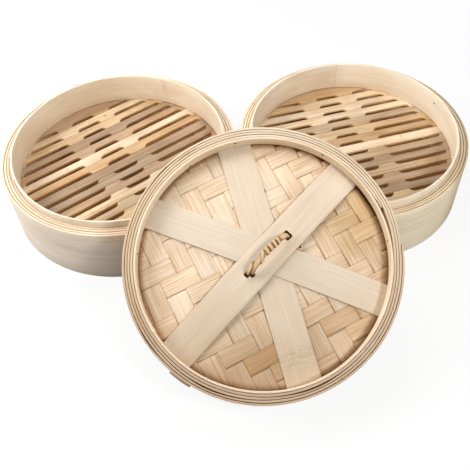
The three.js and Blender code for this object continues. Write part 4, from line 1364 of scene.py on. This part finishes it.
class STEAMER_OT_cane_handle(bpy.types.Operator):
    """Bends the cane handle and winds it round itself"""
    bl_idname = "steamer.cane_handle"
    bl_label = "Cane Handle"

    def execute(self, context):
        sizes, tones = values(context)
        arch, face, way = arch_lines(sizes)
        # Painted shade on the arch between the wound turns and inside its hole; its single end is browner
        hidden = smooth((way - 0.96 + WOUND_TO) / 0.06) * (1 - smooth((way - 0.98 + WOUND_TIGHT) / 0.08))
        shade = (fading(hidden, HIDDEN_PAINTED_SHADE) * fading(1 - grown(way, start=0.02, over=0.16), WORN_SHADE)
                 * fading(grown(way, start=0.92, over=0.08), SUNK_PAINTED_SHADE))
        in_hole = 1 - smooth(way / 0.06) * smooth((1 - way) / 0.06)
        width = sizes.cane_width * (1 - 0.2 * hidden) * (1 - 0.3 * in_hole)
        arch = ribbon(eased(arch), eased(face), width, sizes.cane, rounding=0.5, seed=5.0, shade=shade)

        # The strand has painted shade where it goes round below the strap, and grows narrow at its end
        line, face = wound_lines(sizes)
        place = np.arange(len(line))
        width = sizes.strand_width * (1 - 0.5 * grown(place, start=len(line) - 14, over=14))
        shade = fading(1 - grown(place, start=10, over=6), SUNK_PAINTED_SHADE)
        wound = ribbon(eased(line), eased(face), width, sizes.strand, rounding=0.4, seed=9.0, shade=shade)
        add_piece("lid_cane_handle", [turned(arch, TOP_TURN), turned(wound, TOP_TURN)], "handle",
                  ["lid_handle"], "cane", [tones.cane, varied(tones.cane, "wound cane", 0.06)])

        level = strap_top(sizes, TOP_STRAP, CANE_TAIL[3][0])
        tail = [(along, across, level - depth) for along, across, depth in CANE_TAIL]
        line = eased(np.repeat(tail, 2, axis=0))
        line += np.linspace(0, 0.02, len(line))[:, None]
        face = np.tile([0.0, -0.35, 1.0], (len(line), 1))
        tail = ribbon(line, face, sizes.strand_width * 0.85, thick=1.1, rounding=0.4, seed=13.0)
        add_piece("lid_cane_tail", [turned(tail, TOP_TURN)], "lid", [], "cane", tones.cane)
        return {"FINISHED"}


class STEAMER_OT_lid_pegs(bpy.types.Operator):
    """Drives the five pegs through the lid's skirt and rim ring"""
    bl_idname = "steamer.lid_pegs"
    bl_label = "Lid Pegs"

    def execute(self, context):
        sizes, tones = values(context)
        for name, at, height in LID_PEGS:
            outer = outermost_radius(skirt_winding(sizes), at) + PEG_PROUD
            shape = radial_peg(name, at, height, sizes.lid_ring_radius - 0.4, outer, sizes.peg_radius)
            add_piece(name.replace("lid_peg", "lid_driven_peg"), [shape], "lid", [name], "peg_bamboo",
                      tones.peg)
        return {"FINISHED"}


# ---------------------------------------------------------------- stage

# Where each lamp hangs and how wide it is. All look at LAMP_AIM
LAMPS = {
    "left": ((-0.88, 0, 0.74), 0.6),
    "low_left": ((-1.08, 0, 0.39), 0.6),
    "back": ((-0.3, 0.45, 0.55), 0.3),
    "right": ((0.56, -0.67, 0.97), 0.25),
    "low_right": ((0.72, -0.86, 0.24), 0.6),
    "top": ((0, 0.2, 0.7), 0.3),
}
LAMP_AIM = (0, 0, 0.05)
# Where the camera of the photograph stood, its heading, pitch and roll in degrees, and how its picture is
# shifted
CAMERA_PLACE = (-0.0126, -0.45078, 0.57257)
CAMERA_TURN = (-4.76, 90 - 48.468, -0.202)
CAMERA_SHIFT = (-0.0681, -0.0745)
TABLE_REACH, TABLE_HEIGHT = 4.0, -0.0003
BASKET_SHADE = (0.119, 0.124)    # radii between which the table under a basket turns from shaded to open
LIFTED = (1, 1, 40)              # heights count more, so that the shade goes when the basket is lifted
FAR_OFF = (0.3, 0.7)             # distances between which the open table turns plain white


def lamp(name, at, size, power):
    data = bpy.data.lights.new(name, "AREA")
    data.size, data.energy = size, power
    made = bpy.data.objects.new(name, data)
    bpy.context.scene.collection.objects.link(made)
    look = (Vector(LAMP_AIM) - Vector(at)).to_track_quat("-Z", "Y")
    made.matrix_world = Matrix.Translation(at) @ look.to_matrix().to_4x4()


def plain_to_eye(tree):
    """1 for rays from the camera, and for those that a gloss or a clear piece sends on"""
    path = add_node(tree, "ShaderNodeLightPath")
    eye = sum_of(tree, path.outputs["Is Camera Ray"], path.outputs["Is Glossy Ray"],
                 path.outputs["Is Transmission Ray"])
    return add_node(tree, "ShaderNodeClamp", {0: eye}).outputs[0]


def table_finish(stage):
    """A white table, plain white to the camera where it lies open, and painted dim and warm under a basket's
    floor, as the shade there
    """
    finish = bpy.data.materials.new("white table")
    finish.use_nodes = True
    tree = finish.node_tree
    shader = tree.nodes["Principled BSDF"]
    shader.inputs["Roughness"].default_value = 0.9
    shader.inputs["Specular IOR Level"].default_value = 0.1
    place = add_node(tree, "ShaderNodeNewGeometry").outputs["Position"]
    clear = None
    for side in BASKETS:
        # Measured from the basket itself
        from_basket = add_node(tree, "ShaderNodeTexCoord", object=bpy.data.objects[f"{side}_wall_strip"])
        flat = scaled(tree, from_basket.outputs["Object"], LIFTED)
        away = add_node(tree, "ShaderNodeVectorMath", {0: flat, 1: tuple(basket_middle(side) * MM)},
                        operation="DISTANCE").outputs["Value"]
        outside = mapped(tree, away, *BASKET_SHADE, 0.0, 1.0)
        clear = outside if clear is None else product(tree, clear, outside)
    eye = plain_to_eye(tree)
    open_table = blended(tree, eye, (*stage.floor_in_light, 1), (*stage.floor, 1))
    tree.links.new(blended(tree, clear, (*stage.painted_shade_below, 1), open_table), shader.inputs["Base Color"])
    distance = add_node(tree, "ShaderNodeVectorMath", {0: place}, operation="LENGTH").outputs["Value"]
    far = mapped(tree, distance, *FAR_OFF, stage.white_share, 1.0)
    share = product(tree, product(tree, eye, clear), far)
    white = add_node(tree, "ShaderNodeEmission", {"Color": (1, 1, 1, 1), "Strength": 1.0})
    mix = add_node(tree, "ShaderNodeMixShader", {0: share, 1: shader.outputs[0], 2: white.outputs[0]})
    tree.links.new(mix.outputs[0], tree.nodes["Material Output"].inputs["Surface"])
    return finish


def white_world(stage):
    world = bpy.data.worlds.new("white room")
    world.use_nodes = True
    tree = world.node_tree
    even = tree.nodes["Background"]
    even.inputs["Color"].default_value = (1, 1, 1, 1)
    even.inputs["Strength"].default_value = stage.sky
    white = add_node(tree, "ShaderNodeBackground", {"Color": (1, 1, 1, 1), "Strength": 1.0})
    mix = add_node(tree, "ShaderNodeMixShader", {0: plain_to_eye(tree), 1: even.outputs[0],
                                                 2: white.outputs[0]})
    tree.links.new(mix.outputs[0], tree.nodes["World Output"].inputs["Surface"])
    return world


def photo_camera(stage):
    """The camera where the photograph was taken from, for a square picture"""
    data = bpy.data.cameras.new("photo camera")
    data.lens = stage.lens
    data.sensor_width = 36
    data.shift_x, data.shift_y = CAMERA_SHIFT
    made = bpy.data.objects.new("photo camera", data)
    bpy.context.scene.collection.objects.link(made)
    heading, pitch, roll = (math.radians(turn) for turn in CAMERA_TURN)
    turn = Matrix.Rotation(heading, 4, "Z") @ Matrix.Rotation(pitch, 4, "X") @ Matrix.Rotation(roll, 4, "Z")
    made.matrix_world = Matrix.Translation(CAMERA_PLACE) @ turn
    return made


class STEAMER_OT_white_stage(bpy.types.Operator):
    """Sets the white table, the lamps and the camera"""
    bl_idname = "steamer.white_stage"
    bl_label = "White Stage"

    def execute(self, context):
        scene, stage = context.scene, context.scene.steamer_stage
        mesh = bpy.data.meshes.new("table")
        mesh.from_pydata([(x * TABLE_REACH, y * TABLE_REACH, TABLE_HEIGHT)
                          for x, y in ((-1, -1), (1, -1), (1, 1), (-1, 1))], [], [[0, 1, 2, 3]])
        mesh.materials.append(table_finish(stage))
        table = bpy.data.objects.new("table", mesh)
        scene.collection.objects.link(table)
        for key, (at, size) in LAMPS.items():
            lamp(f"{key.replace('_', ' ')} lamp", at, size, getattr(stage, key))
        scene.world = white_world(stage)
        scene.camera = photo_camera(stage)
        scene.view_settings.view_transform = "Standard"
        return {"FINISHED"}


# ---------------------------------------------------------------- panel and registration

OPERATORS = (STEAMER_OT_wound_walls, STEAMER_OT_bent_hoops, STEAMER_OT_slat_floors, STEAMER_OT_basket_pegs,
             STEAMER_OT_lid_skirt, STEAMER_OT_lid_weave, STEAMER_OT_lid_straps, STEAMER_OT_cane_handle,
             STEAMER_OT_lid_pegs, STEAMER_OT_white_stage)
GROUPS = {"steamer_sizes": SteamerSizes, "steamer_colours": SteamerColours, "steamer_stage": SteamerStage}


class STEAMER_PT_panel(bpy.types.Panel):
    """Lists the steamer's pieces and settings in the sidebar"""
    bl_idname = "STEAMER_PT_panel"
    bl_label = "Bamboo Steamer"
    bl_space_type = "VIEW_3D"
    bl_region_type = "UI"
    bl_category = "Steamer"

    def draw(self, context):
        for operator in OPERATORS:
            self.layout.operator(operator.bl_idname)
        for name in GROUPS:
            group, column = getattr(context.scene, name), self.layout.column(align=True)
            for key in keys_of(group):
                column.prop(group, key)


def register():
    for kind in (*GROUPS.values(), *OPERATORS, STEAMER_PT_panel):
        bpy.utils.register_class(kind)
    for name, group in GROUPS.items():
        setattr(bpy.types.Scene, name, PointerProperty(type=group))


def unregister():
    for name in GROUPS:
        delattr(bpy.types.Scene, name)
    for kind in (STEAMER_PT_panel, *reversed(OPERATORS), *GROUPS.values()):
        bpy.utils.unregister_class(kind)


def main():
    register()
    for operator in OPERATORS:
        getattr(bpy.ops.steamer, operator.bl_idname.split(".")[1])()


if __name__ == "__main__":
    main()
